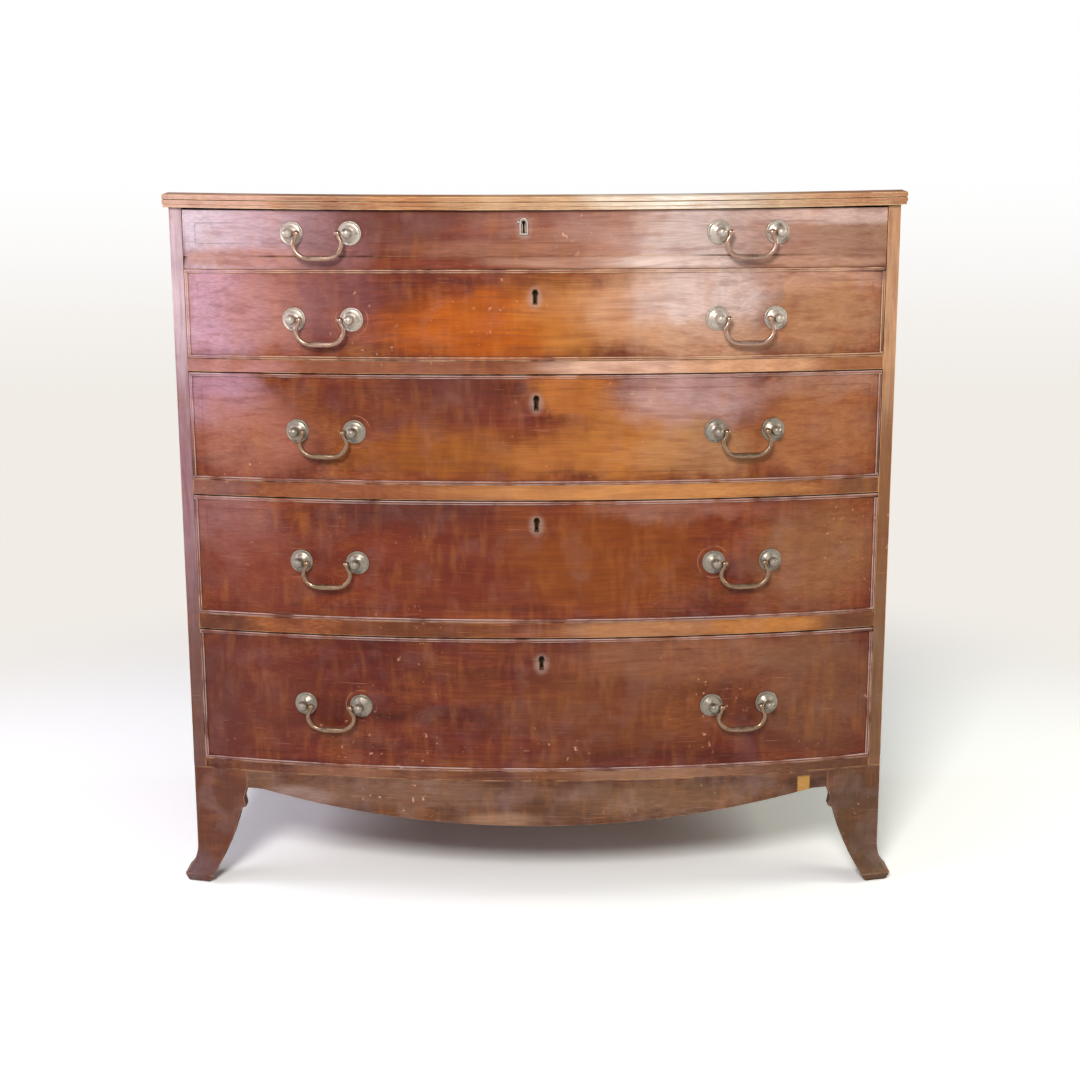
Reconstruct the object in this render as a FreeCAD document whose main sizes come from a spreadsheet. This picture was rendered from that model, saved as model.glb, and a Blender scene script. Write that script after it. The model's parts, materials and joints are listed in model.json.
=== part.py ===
import FreeCAD, Part
import os
import re
from math import asin, cos, pi, sin

import Sketcher
from FreeCAD import Placement, Rotation, Vector

# A bow-front chest of five long graduated drawers on splayed bracket feet. All sizes are in
# millimetres. The frame: +Z up, +X to the right when facing the drawers, the front towards -Y,
# the floor at z = 0, and the origin under the middle of the whole chest.
#
# Most pieces are drawn with y = 0 on the line through the two ends of the bow, which is where the
# front corners of the sides stand. Each finished piece is then moved to the frame's own y, and a
# drawer's pieces, drawn with z = 0 at the bottom of their opening, are lifted to that opening.

SIZES = {
    # carcase
    "carcase_width": 1016.0,
    "side_depth": 455.0,            # from the ends of the bow to the back
    "bow_depth": 70.0,              # how far the front bows out in the middle
    "side_thickness": 18.5,
    "base_height": 175.5,           # floor to the underside of the bottom board
    "bottom_thickness": 14.5,
    "back_thickness": 9.0,
    "back_plank_gap": 0.4,
    # drawer openings and the rails between them, numbered from the top
    "opening_1": 67.0,
    "rail_1": 16.5,
    "opening_2": 125.0,
    "rail_2": 18.4,
    "opening_3": 153.6,
    "rail_3": 22.0,
    "opening_4": 175.0,
    "rail_4": 22.5,
    "opening_5": 197.5,
    "rail_depth": 45.0,             # how far a rail reaches behind the ends of the bow
    "housing_depth": 7.0,           # how far rails, runners and bottom are let into the sides
    "tenon_setback": 12.0,
    "tenon_length": 26.0,
    "runner_width": 34.0,
    "dust_board_thickness": 9.0,
    "dust_board_groove": 6.0,
    "stop_width": 25.0,
    "stop_depth": 20.0,
    "stop_height": 5.0,
    "stop_position": 65.0,
    "stop_clearance": 0.3,
    # top
    "top_thickness": 20.5,
    "top_overhang_side": 7.5,
    "top_overhang_front": 9.0,
    "top_bevel_height": 3.5,
    "top_bevel_width": 8.0,
    "reed_height": 5.4,
    "reed_groove_height": 1.0,
    "reed_groove_depth": 1.5,
    "edge_strip_height": 4.6,
    "edge_strip_inset": 1.0,
    # feet and apron
    "foot_width": 81.0,
    "foot_thickness": 22.0,
    "foot_flare": 18.0,
    "flare_height": 53.0,
    "toe_height": 12.0,
    "toe_undercut": 5.0,
    "sole_inner": 19.0,             # sole's inner edge, from the line of the carcase side
    "foot_neck_width": 69.5,
    "foot_neck_height": 110.0,
    "foot_inner_radius": 345.0,
    "cusp_width": 78.5,
    "cusp_height": 118.0,
    "cusp_radius": 10.0,
    "notch_width": 75.7,
    "notch_height": 132.0,
    "arch_height": 148.5,
    "apron_thickness": 20.0,
    "apron_drop_height": 106.6,     # lowest edge of the apron above the floor, in the middle
    "apron_flat": 22.0,             # level stretch beside each foot
    "skirt_height": 136.0,          # lowest edge of the side skirts above the floor
    "rear_bracket_thickness": 16.0,
    "foot_block": 30.0,
    "foot_block_clearance": 92.0,   # floor to the underside of the glue blocks
    # drawers
    "front_thickness": 22.0,
    "front_land": 30.0,             # flat pad at each end of a front's inner face
    "running_gap": 0.4,             # under a drawer
    "drawer_top_gap": 1.4,
    "drawer_1_top_gap": 3.5,
    "drawer_side_gap": 1.0,
    "lip_thickness": 10.0,          # drawer 1's lip in front of rail 1
    "lip_gap": 1.0,
    "bead_thickness": 4.8,
    "bead_depth": 11.0,
    "bead_proud": 1.8,
    "lining_thickness": 10.0,
    "lining_top_drop": 4.0,         # drawer sides end this far under the top of the front
    "back_lining_drop": 9.0,
    "drawer_length": 434.0,
    "tail_length": 15.0,
    "tail_slope": 0.17,
    "tail_share": 0.6,              # tail's width at the shoulder, as a part of the pitch
    "drawer_bottom_thickness": 7.0,
    "drawer_bottom_rise": 8.0,
    "drawer_groove_depth": 5.0,
    # locks
    "lock_width": 52.0,
    "lock_height": 48.0,
    "lock_thickness": 10.0,
    "bolt_width": 21.0,
    "bolt_thickness": 5.6,
    "bolt_height": 22.0,
    "bolt_throw": 8.0,
    "bolt_gap": 0.3,
    "bolt_rest_drop": 0.6,
    "mortise_gap": 1.2,
    "keyhole_radius": 2.7,
    "keyhole_slot_width": 3.0,
    "keyhole_slot_length": 9.0,
    "escutcheon_wall": 0.9,
    "escutcheon_depth": 4.0,
    "escutcheon_proud": 0.4,
    "arch_escutcheon_width": 12.8,
    "arch_escutcheon_height": 22.8,
    "arch_escutcheon_ring": 2.5,
    "arch_escutcheon_thickness": 1.6,
    "keyhole_drop_1": 25.0,         # keyhole centre below the top of the drawer's front
    "keyhole_drop_2": 37.0,
    "keyhole_drop_3": 38.0,
    "keyhole_drop_4": 33.0,
    "keyhole_drop_5": 35.0,
    "keyhole_shift_1": -14.0,       # keyhole to the right of the middle
    "keyhole_shift_2": 1.0,
    "keyhole_shift_3": 2.0,
    "keyhole_shift_4": 2.0,
    "keyhole_shift_5": 8.0,
    # handles
    "handle_position": 293.0,
    "handle_height_1": 31.0,        # handle pivots above the bottom of the drawer's opening
    "handle_height_2": 56.0,
    "handle_height_3": 73.0,
    "handle_height_4": 84.0,
    "handle_height_5": 94.0,
    "post_spacing": 82.0,
    "rose_radius": 16.5,
    "rose_rim": 1.2,
    "rose_height": 4.4,
    "post_radius": 4.2,
    "post_head_radius": 7.2,
    "post_standoff": 16.5,          # bail pivot in front of the drawer's face
    "post_reach": 24.0,
    "shank_radius": 2.0,
    "shank_gap": 0.2,
    "shank_length": 34.0,
    "pin_radius": 1.9,
    "pin_gap": 0.06,
    "pin_end_gap": 0.3,
    "pin_engagement": 4.0,
    "bail_half_width": 29.0,        # pivot knuckles, from the middle of the handle
    "bail_swell_width": 34.0,       # widest place of the arms
    "bail_drop": 36.5,
    "bail_grip_arc": 90.0,
    "bail_corner_arc": 14.0,
    "bail_arm_radius": 2.6,
    "bail_grip_radius": 3.9,
    "bail_knuckle_radius": 4.3,
}

DRAWERS = range(1, 6)
BEADED_DRAWERS = DRAWERS[1:]
RAILS = DRAWERS[:-1]
TAILS = {1: 2, 2: 2, 3: 3, 4: 3, 5: 3}      # dovetails at each front corner of a drawer
REAR_TAILS = {1: 1, 2: 2, 3: 2, 4: 2, 5: 2}

doc = FreeCAD.newDocument("bow_front_chest")
sheet = doc.addObject("Spreadsheet::Sheet", "Sizes")
for row, (word, number) in enumerate(SIZES.items(), start=1):
    sheet.set(f"A{row}", word)
    sheet.set(f"B{row}", str(number))
    sheet.setAlias(f"B{row}", word)
doc.recompute()


# ---------------------------------------------------------------- expressions

def in_sheet(text):
    """Point every size that an expression names at its cell."""
    return re.sub(r"[a-z][a-z0-9_]*", lambda word: cell_or_word(word.group()), str(text))


def cell_or_word(word):
    return "Sizes." + word if word in SIZES else word


def value(text):
    """The number that an expression gives now."""
    return float(sheet.evalExpression(in_sheet(text)))


def bind(thing, **expressions):
    """Bind properties of an object to expressions of the sizes."""
    for name, text in expressions.items():
        thing.setExpression(name, in_sheet(text))
    return thing


def move(thing, x=None, y=None, z=None):
    """Bind an object's place to expressions of the sizes."""
    for axis, text in (("x", x), ("y", y), ("z", z)):
        if text is not None:
            thing.setExpression(".Placement.Base." + axis, in_sheet(text))
    return thing


# The bow is one arc through the front corners of the sides. Its centre stands behind the front on
# the middle line, and every curved front piece is cut to this arc or to one inside it.
BOW_RADIUS = "((carcase_width^2 / 4 + bow_depth^2) / (2 * bow_depth))"
BOW_CENTRE = f"({BOW_RADIUS} - bow_depth)"
INSIDE = "(carcase_width / 2 - side_thickness)"
DRAWER_HALF = f"({INSIDE} - drawer_side_gap)"

# The inner face of a drawer front: a land at each end, and five flats between them whose ends
# stand on an arc as deep as the bow.
LAND_EDGE = f"({DRAWER_HALF} - front_land)"
INNER_RADIUS = f"(({LAND_EDGE}^2 + bow_depth^2) / (2 * bow_depth))"
FLAT_ENDS = [f"({LAND_EDGE} * {share})" for share in (1, 0.6, 0.2, -0.2, -0.6, -1)]

# Levels above the floor.
FLOOR_OF = {5: "base_height + bottom_thickness"}
for number in reversed(RAILS):
    FLOOR_OF[number] = f"{FLOOR_OF[number + 1]} + opening_{number + 1} + rail_{number}"
TOP_UNDERSIDE = f"({FLOOR_OF[1]} + opening_1)"

# The whole chest is centred on the origin from the top's front edge to the back.
CHORD = "(-(side_depth - bow_depth - top_overhang_front) / 2)"


def bow_y(half_width, setback="0"):
    """Where the bow, or an arc set back inside it, stands at a distance from the middle."""
    return f"({BOW_CENTRE} - sqrt(({BOW_RADIUS} - ({setback}))^2 - ({half_width})^2))"


def inner_y(half_width):
    """Where the arc of a front's inner face stands at a distance from the middle."""
    flat = f"({INNER_RADIUS} - bow_depth)"
    return f"(front_thickness + {flat} - sqrt({INNER_RADIUS}^2 - ({half_width})^2))"


def inner_flats(forward="0"):
    """The flats of a front's inner face from right to left, moved forward by an expression."""
    return [(across, f"({inner_y(across)} - ({forward}))") for across in FLAT_ENDS]


# The lock lies flush with the middle flat of a front, and its bolt halfway into it.
MIDDLE_FLAT = inner_y(FLAT_ENDS[2])
LOCK_FRONT = f"({MIDDLE_FLAT} - lock_thickness)"
BOLT_FRONT = f"({LOCK_FRONT} + (lock_thickness - bolt_thickness) / 2)"


# ---------------------------------------------------------------- drawing and building

def arc_between(first, last, radius, clockwise):
    """An arc of a circle from one point to the other, going round as asked."""
    chord = last - first
    half = chord.Length / 2
    side = Vector(-chord.y, chord.x, 0).normalize() * (radius ** 2 - half ** 2) ** 0.5
    centre = first + chord / 2 + (side * -1 if clockwise else side)
    circle = Part.Circle(centre, Vector(0, 0, 1), radius)
    start, end = (last, first) if clockwise else (first, last)
    return Part.ArcOfCircle(circle, circle.parameter(start), circle.parameter(end))


def draw(sketch, corners, arcs=None):
    """Draw a closed outline whose corners are pairs of expressions.

    arcs names the edges that are arcs, by the number of the corner that they leave, each with the
    expression of its radius, which starts with a minus sign where the arc goes round clockwise.
    """
    arcs = arcs or {}
    points = [Vector(value(across), value(up), 0) for across, up in corners]
    count = len(points)
    leaves = {}
    arrives = {}
    for number, point in enumerate(points):
        following = points[(number + 1) % count]
        if number in arcs:
            clockwise = arcs[number].startswith("-")
            radius = arcs[number].lstrip("-")
            sketch.addGeometry(arc_between(point, following, value(radius), clockwise), False)
            leaves[number], arrives[number] = (2, 1) if clockwise else (1, 2)
            hold(sketch, Sketcher.Constraint("Radius", number, value(radius)), radius)
        else:
            sketch.addGeometry(Part.LineSegment(point, following), False)
            leaves[number], arrives[number] = 1, 2
    for number, (across, up) in enumerate(corners):
        after = (number + 1) % count
        joined = Sketcher.Constraint("Coincident", number, arrives[number], after, leaves[after])
        sketch.addConstraint(joined)
        for kind, text, distance in (("DistanceX", across, points[number].x),
                                     ("DistanceY", up, points[number].y)):
            hold(sketch, Sketcher.Constraint(kind, -1, 1, number, leaves[number], distance), text)
    return sketch


def hold(sketch, constraint, text):
    """Add a constraint and bind it to an expression."""
    index = sketch.addConstraint(constraint)
    sketch.setExpression(f"Constraints[{index}]", in_sheet(text))


def new_body(name):
    return doc.addObject("PartDesign::Body", name)


def sketch_in(body, plane, corners, arcs=None, offset="0"):
    """A sketch in a body, on one of its own origin planes moved along its normal."""
    support = [part for part in body.Origin.OriginFeatures if part.Role == plane][0]
    sketch = body.newObject("Sketcher::SketchObject", body.Name + "_sketch")
    sketch.AttachmentSupport = [(support, "")]
    sketch.MapMode = "FlatFace"
    sketch.setExpression(".AttachmentOffset.Base.z", in_sheet(offset))
    return draw(sketch, corners, arcs)


def add_pad(body, plane, corners, length, arcs=None, offset="0"):
    """Pad an outline in a body along its plane's normal."""
    pad = body.newObject("PartDesign::Pad", body.Name + "_pad")
    pad.Profile = sketch_in(body, plane, corners, arcs, offset)
    return bind(pad, Length=length)


def board(name, corners, thickness, arcs=None, offset="0", plane="XY_Plane"):
    """A board: one outline padded to a thickness. A plan lies on XY_Plane, seen from above."""
    body = new_body(name)
    add_pad(body, plane, corners, thickness, arcs, offset)
    return body


def box(name, x, y, z):
    """A box between pairs of expressions, low and high, along each axis."""
    block = doc.addObject("Part::Box", name)
    bind(block, Length=f"({x[1]}) - ({x[0]})", Width=f"({y[1]}) - ({y[0]})",
         Height=f"({z[1]}) - ({z[0]})")
    return move(block, x[0], y[0], z[0])


def extrude(name, sketch, direction, forward, backward="0"):
    """A sketch outside a body, drawn out along a direction."""
    solid = doc.addObject("Part::Extrusion", name)
    solid.Base = sketch
    solid.DirMode = "Custom"
    solid.Dir = direction
    solid.Solid = True
    return bind(solid, LengthFwd=forward, LengthRev=backward)


def cut(name, base, tools):
    """One piece less the pieces that are let into it."""
    tool = tools[0]
    if len(tools) > 1:
        tool = doc.addObject("Part::MultiFuse", name + "_tools")
        tool.Shapes = tools
    piece = doc.addObject("Part::Cut", name)
    piece.Base = base
    piece.Tool = tool
    return piece


def common(name, first, second):
    piece = doc.addObject("Part::Common", name)
    piece.Base = first
    piece.Tool = second
    return piece


def fuse(name, pieces):
    piece = doc.addObject("Part::MultiFuse", name)
    piece.Shapes = pieces
    return piece


def mirrored(name, source):
    """The same piece on the other side of the chest."""
    piece = doc.addObject("Part::Mirroring", name)
    piece.Source = source
    piece.Normal = Vector(1, 0, 0)
    return piece


def set_shape(name, shape):
    piece = doc.addObject("Part::Feature", name)
    piece.Shape = shape
    return piece


NODES = []


def node(label, pieces, level="0"):
    """Gather the finished solids of one sub-part and put them at their place in the chest."""
    part = doc.addObject("Part::Compound", label)
    part.Label = label
    part.Links = pieces
    move(part, y=CHORD, z=level)
    NODES.append(part)
    return part


# ---------------------------------------------------------------- outlines seen from above

def bowed_plan(half_width, rear, setback="0"):
    """A plan with its front on the bow and a straight rear edge."""
    corners = [(half_width, rear), (f"-{half_width}", rear),
               (f"-{half_width}", bow_y(half_width, setback)),
               (half_width, bow_y(half_width, setback))]
    return corners, {2: f"({BOW_RADIUS} - ({setback}))"}


def bow_band(half_width, setback, rear_setback):
    """A plan between two arcs of the bow, one in front of the other."""
    corners = [(f"-{half_width}", bow_y(half_width, setback)),
               (half_width, bow_y(half_width, setback)),
               (half_width, bow_y(half_width, rear_setback)),
               (f"-{half_width}", bow_y(half_width, rear_setback))]
    return corners, {0: f"({BOW_RADIUS} - ({setback}))", 2: f"-({BOW_RADIUS} - ({rear_setback}))"}


def flat_backed_band(half_width, setback, rear_setback):
    """A plan with its front on an arc of the bow and its back in six flats along another."""
    corners = [(f"-{half_width}", bow_y(half_width, setback)),
               (half_width, bow_y(half_width, setback))]
    for share in (3, 2, 1, 0, -1, -2, -3):
        across = f"({half_width} * {share} / 3)"
        corners.append((across, bow_y(across, rear_setback)))
    return corners, {0: f"({BOW_RADIUS} - ({setback}))"}


def bow_band_end(near, far, setback, rear_setback):
    """The stretch of such a band between two distances to the right of the middle."""
    corners = [(near, bow_y(near, setback)), (far, bow_y(far, setback)),
               (far, bow_y(far, rear_setback)), (near, bow_y(near, rear_setback))]
    return corners, {0: f"({BOW_RADIUS} - ({setback}))", 2: f"-({BOW_RADIUS} - ({rear_setback}))"}


# ---------------------------------------------------------------- carcase

def bowed_slab(body, half_width, front, bottom, thickness):
    """Pad one layer of the top: its front arc stands a little outside the bow."""
    plan, arcs = bowed_plan(f"({half_width})", "side_depth", f"-({front})")
    return add_pad(body, "XY_Plane", plan, thickness, arcs, bottom)


def build_top():
    """The top: a reed, a groove and a wider upper layer whose upper edge is bevelled away.

    The lower edge has a rebate for the strips that are planted under it.
    """
    body = new_body("top_board_blank")
    half = "carcase_width / 2 + top_overhang_side"
    front = "top_overhang_front"
    strip_top = f"{TOP_UNDERSIDE} + edge_strip_height"
    groove = f"{strip_top} + reed_height"
    upper = f"{groove} + reed_groove_height"
    bevel = f"{TOP_UNDERSIDE} + top_thickness - top_bevel_height"
    bowed_slab(body, "carcase_width / 2", "-lip_thickness", TOP_UNDERSIDE, "edge_strip_height")
    bowed_slab(body, half, front, strip_top, "reed_height")
    bowed_slab(body, f"{half} - reed_groove_depth", f"{front} - reed_groove_depth", groove,
               "reed_groove_height")
    bowed_slab(body, half, front, upper, f"{bevel} - ({upper})")
    plan, arcs = bowed_plan(f"({half})", "side_depth", f"-({front})")
    foot_of_bevel = sketch_in(body, "XY_Plane", plan, arcs, bevel)
    plan, arcs = bowed_plan(f"({half} - top_bevel_width)", "side_depth",
                            f"-({front} - top_bevel_width)")
    face = sketch_in(body, "XY_Plane", plan, arcs, f"{TOP_UNDERSIDE} + top_thickness")
    loft = body.newObject("PartDesign::AdditiveLoft", "top_bevel")
    loft.Profile = foot_of_bevel
    loft.Sections = [face]
    loft.Ruled = True
    node("top_board", [cut("top_board_cut", body, [mortise(1)])])


def build_edge_strips():
    """Thin strips under the edge of the top: one along the bow, one along each side."""
    half = "carcase_width / 2"
    outer = f"({half} + top_overhang_side - edge_strip_inset)"
    front = "-(top_overhang_front - edge_strip_inset)"
    plan, arcs = bow_band(outer, front, "lip_thickness")
    along_front = board("strip_front", plan, "edge_strip_height", arcs, TOP_UNDERSIDE)
    sides = []
    for name, low, high in (("strip_right", half, outer), ("strip_left", f"-{outer}", f"-({half})")):
        sides.append(box(name, (low, high), (bow_y(outer, "lip_thickness"), "side_depth"),
                         (TOP_UNDERSIDE, f"{TOP_UNDERSIDE} + edge_strip_height")))
    node("top_edge_strip", [along_front] + sides)


def rail_level(number):
    """The underside of a rail."""
    return f"({FLOOR_OF[number + 1]} + opening_{number + 1})"


def mortise(number):
    """The mortise that the bolt of one drawer shoots into, cut in what is above the drawer."""
    above = f"({FLOOR_OF[number]} + opening_{number})"
    middle = f"keyhole_shift_{number}"
    return box(f"mortise_{number}", (f"{middle} - bolt_width / 2 - mortise_gap",
                                     f"{middle} + bolt_width / 2 + mortise_gap"),
               (f"{BOLT_FRONT} - mortise_gap", f"{BOLT_FRONT} + bolt_thickness + mortise_gap"),
               (above, f"{above} + bolt_throw + mortise_gap"))


def build_rail(number):
    """A bowed rail with a stopped tenon at each end. Rail 1 stands back behind drawer 1's lip."""
    setback = "lip_thickness + lip_gap" if number == 1 else "0"
    face = f"({bow_y(INSIDE, setback)})"
    start = f"({face} + tenon_setback)"
    end = f"({start} + tenon_length)"
    reach = f"({INSIDE} + housing_depth)"
    right = [(INSIDE, face), (INSIDE, start), (reach, start), (reach, end), (INSIDE, end),
             (INSIDE, "rail_depth")]
    left = [(f"-{across}", along) for across, along in reversed(right)]
    name = f"rail_{number}_blank"
    return board(name, right + left, f"rail_{number}", {11: f"({BOW_RADIUS} - ({setback}))"},
                 rail_level(number))


def build_carcase():
    """Rails, runners and dust boards, let into the sides, with the bottom and the back."""
    back_face = "side_depth - back_thickness"
    reach = f"({INSIDE} + housing_depth)"
    rails = []
    runners = []
    dust_boards = []
    for number in RAILS:
        low = rail_level(number)
        high = f"{low} + rail_{number}"
        blank = build_rail(number)
        inner = f"({INSIDE} - runner_width)"
        dust_top = f"{high} - dust_board_groove"
        dust = box(f"dust_board_{number}",
                   (f"-({inner} + dust_board_groove)", f"{inner} + dust_board_groove"),
                   ("rail_depth - dust_board_groove", back_face),
                   (f"{dust_top} - dust_board_thickness", dust_top))
        for name, ends in ((f"runner_{number}_left", (f"-{reach}", f"-{inner}")),
                           (f"runner_{number}_right", (inner, reach))):
            runner = box(name + "_blank", ends, ("rail_depth", back_face), (low, high))
            runners.append(cut(name, runner, [dust]))
        lets = [dust] + [mortise(number + 1)]
        rails.append(cut(f"rail_{number}_cut", blank, lets))
        dust_boards.append(dust)
    bottom_plan, arcs = bowed_plan(INSIDE, back_face)
    bottom = board("bottom_board_blank", bottom_plan, "bottom_thickness", arcs, "base_height")
    tongues = box("bottom_tongues", (f"-{reach}", reach), ("tenon_setback", back_face),
                  ("base_height", "base_height + bottom_thickness"))
    bottom = fuse("bottom_board_tongued", [bottom, tongues])
    node("bottom_board", [bottom])
    node("drawer_rails", rails)
    node("drawer_runners", runners)
    node("dust_boards", dust_boards)
    planks = build_back()
    build_sides(rails + runners + [bottom] + planks)


def build_back():
    """Upright planks in a rebate that is half as wide as the sides are thick."""
    half = f"({INSIDE} + side_thickness / 2)"
    count = 4
    pitch = f"(2 * {half} / {count})"
    planks = []
    for number in range(count):
        start = f"(-{half} + {number} * {pitch} + back_plank_gap / 2)"
        planks.append(box(f"back_plank_{number + 1}", (start, f"{start} + {pitch} - back_plank_gap"),
                          ("side_depth - back_thickness", "side_depth"),
                          ("base_height", TOP_UNDERSIDE)))
    node("back_boards", planks)
    return planks


def build_sides(let_in):
    """The sides: their front edges follow the bow, and housings take what is let into them."""
    outer = "(carcase_width / 2)"
    height = f"{TOP_UNDERSIDE} - base_height"
    for side in ("right", "left"):
        if side == "right":
            corners = [(outer, "side_depth"), (INSIDE, "side_depth"), (INSIDE, bow_y(INSIDE)),
                       (outer, "0")]
        else:
            corners = [(f"-{INSIDE}", "side_depth"), (f"-{outer}", "side_depth"),
                       (f"-{outer}", "0"), (f"-{INSIDE}", bow_y(INSIDE))]
        blank = board(f"side_{side}_blank", corners, height, {2: BOW_RADIUS}, "base_height")
        here = "left" if side == "right" else "right"
        tools = [piece for piece in let_in if here not in piece.Name]
        node(f"side_{side}", [cut(f"side_{side}_housed", blank, tools)])


def build_stops():
    """Two blocks under each drawer's bottom, just behind its front."""
    blocks = []
    for number in DRAWERS:
        start = f"({MIDDLE_FLAT} + stop_clearance)"
        for side, low in (("right", "stop_position - stop_width / 2"),
                          ("left", "-stop_position - stop_width / 2")):
            blocks.append(box(f"stop_{number}_{side}", (low, f"{low} + stop_width"),
                              (start, f"{start} + stop_depth"),
                              (FLOOR_OF[number], f"{FLOOR_OF[number]} + stop_height")))
    node("drawer_stops", blocks)


# ---------------------------------------------------------------- feet and apron

SIDE_LINE = "(carcase_width / 2)"
FLARE_RADIUS = "((foot_flare^2 + (flare_height - toe_height)^2) / (2 * foot_flare))"
FACING_FRONT = Rotation(Vector(1, 0, 0), 90)
FACING_SIDE = Rotation(Vector(1, 1, 1), 120)


def beyond(line, way, distance):
    return f"({line} {way} {distance})"


def flared_edge(line, way):
    """The outer edge of a foot, from the carcase down to the toe, which splays the way given."""
    return [(line, "base_height"), (line, "flare_height"),
            (beyond(line, way, "foot_flare"), "toe_height"),
            (beyond(line, way, "(foot_flare - toe_undercut)"), "0")]


def bracket_edge(line, inwards):
    """The inner edge of a foot, from the sole up to the carcase, with its cusp."""
    return [(beyond(line, inwards, "sole_inner"), "0"),
            (beyond(line, inwards, "foot_neck_width"), "foot_neck_height"),
            (beyond(line, inwards, "cusp_width"), "cusp_height"),
            (beyond(line, inwards, "notch_width"), "notch_height"),
            (beyond(line, inwards, "foot_width"), "arch_height"),
            (beyond(line, inwards, "foot_width"), "base_height")]


def free_sketch(name, corners, arcs, rotation, x="0", y="0"):
    """A sketch that stands by itself, turned to face along x or y."""
    sketch = doc.addObject("Sketcher::SketchObject", name)
    sketch.Placement = Placement(Vector(0, 0, 0), rotation)
    move(sketch, x, y)
    return draw(sketch, corners, arcs)


def seen_from_front(name, corners, arcs, low, high):
    """A front view drawn out between two expressions of y."""
    sketch = free_sketch(name + "_view", corners, arcs, FACING_FRONT, y=high)
    return extrude(name, sketch, Vector(0, -1, 0), f"({high}) - ({low})")


def seen_from_side(name, corners, arcs, low, high):
    """A side view drawn out between two expressions of x."""
    sketch = free_sketch(name + "_view", corners, arcs, FACING_SIDE, x=low)
    return extrude(name, sketch, Vector(1, 0, 0), f"({high}) - ({low})")


def build_feet():
    """Splayed bracket feet: an angle of two brackets, with a glue block in its corner."""
    outer = beyond(SIDE_LINE, "+", "2 * foot_flare")
    inner = beyond(SIDE_LINE, "-", "1.5 * foot_width")
    rear = "side_depth"
    silhouette = flared_edge(SIDE_LINE, "+") + bracket_edge(SIDE_LINE, "-")
    front_view = seen_from_front("foot_front_view", silhouette,
                                 {1: FLARE_RADIUS, 4: "-foot_inner_radius", 5: "cusp_radius"},
                                 "-2 * foot_width", "side_depth")
    hollow_line = beyond(SIDE_LINE, "-", "foot_thickness")
    hollow = flared_edge(hollow_line, "+") + [(inner, "0"), (inner, "base_height")]
    hollow_view = seen_from_front("foot_hollow_front_view", hollow, None, "-2 * foot_width",
                                  "side_depth")

    # The front bracket's face follows the slope of the bow across the foot, so its side view is
    # drawn out along that slope.
    rise = value(bow_y(beyond(SIDE_LINE, "-", "foot_width")))
    along_bow = Vector(-value("foot_width"), rise, 0)
    stretch = f"2 * foot_width * {along_bow.Length / value('foot_width')}"
    fronts = []
    for name, line, arcs in (("foot_side_view", "0", {1: "-" + FLARE_RADIUS}),
                             ("foot_hollow_side_view", "foot_thickness", None)):
        corners = flared_edge(line, "-") + [("2 * foot_width", "0"), ("2 * foot_width", "base_height")]
        sketch = free_sketch(name + "_sketch", corners, arcs, FACING_SIDE, x=SIDE_LINE)
        fronts.append(extrude(name, sketch, along_bow, stretch, "foot_width"))
    corners = [("-2 * foot_width", "base_height"), ("-2 * foot_width", "0")] + bracket_edge("0", "+")
    bracket = seen_from_side("foot_side_bracket", corners, {2: "foot_inner_radius", 3: "-cusp_radius"},
                             inner, outer)
    angle = common("front_foot_outside", common("front_foot_faces", front_view, fronts[0]), bracket)
    recess = common("front_foot_recess", hollow_view, fronts[1])
    front_foot = cut("front_foot_right_angle", angle, [recess])
    node("front_feet", [front_foot, mirrored("front_foot_left_angle", front_foot)])

    corners = [(rear, "base_height"), (rear, "0")] + bracket_edge(rear, "-")
    rear_bracket = seen_from_side("rear_foot_bracket", corners,
                                  {2: "-foot_inner_radius", 3: "cusp_radius"}, inner, outer)
    back_of_recess = beyond(rear, "-", "rear_bracket_thickness")
    rear_space = box("rear_foot_space", (inner, outer), ("side_depth / 2", back_of_recess),
                     ("-1", "base_height + 1"))
    rear_angle = common("rear_foot_outside", front_view, rear_bracket)
    rear_recess = common("rear_foot_recess", hollow_view, rear_space)
    rear_foot = cut("rear_foot_right_angle", rear_angle, [rear_recess])
    node("rear_feet", [rear_foot, mirrored("rear_foot_left_angle", rear_foot)])

    blocks = []
    for name, start in (("front", "foot_thickness"), ("rear", f"{back_of_recess} - foot_block")):
        block = box(f"foot_block_{name}", (f"{hollow_line} - foot_block", hollow_line),
                    (start, f"{start} + foot_block"), ("foot_block_clearance", "base_height"))
        blocks += [block, mirrored(f"foot_block_{name}_left", block)]
    node("foot_blocks", blocks)


def build_apron_and_skirts():
    """The bowed apron with its drooping lower edge, and the skirts between the side feet."""
    end = beyond(SIDE_LINE, "-", "foot_width")
    flat = f"({end} - apron_flat)"
    drop = "(arch_height - apron_drop_height)"
    corners = [(f"-{end}", "base_height"), (f"-{end}", "arch_height"), (f"-{flat}", "arch_height"),
               (flat, "arch_height"), (end, "arch_height"), (end, "base_height")]
    shape = seen_from_front("apron_view", corners, {2: f"(({flat}^2 + {drop}^2) / (2 * {drop}))"},
                            "-2 * bow_depth", "bow_depth")
    plan, arcs = flat_backed_band(end, "0", "apron_thickness")
    band = board("apron_band", plan, "base_height", arcs)
    node("apron", [common("apron_shaped", shape, band)])

    near = "foot_width"
    far = "(side_depth - foot_width)"
    sag = "(arch_height - skirt_height)"
    half = f"(({far} - {near}) / 2)"
    corners = [(near, "arch_height"), (far, "arch_height"), (far, "base_height"),
               (near, "base_height")]
    skirt = seen_from_side("skirt_right", corners, {0: f"(({half}^2 + {sag}^2) / (2 * {sag}))"},
                           INSIDE, SIDE_LINE)
    node("side_skirts", [skirt, mirrored("skirt_left", skirt)])


# ---------------------------------------------------------------- drawers

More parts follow.
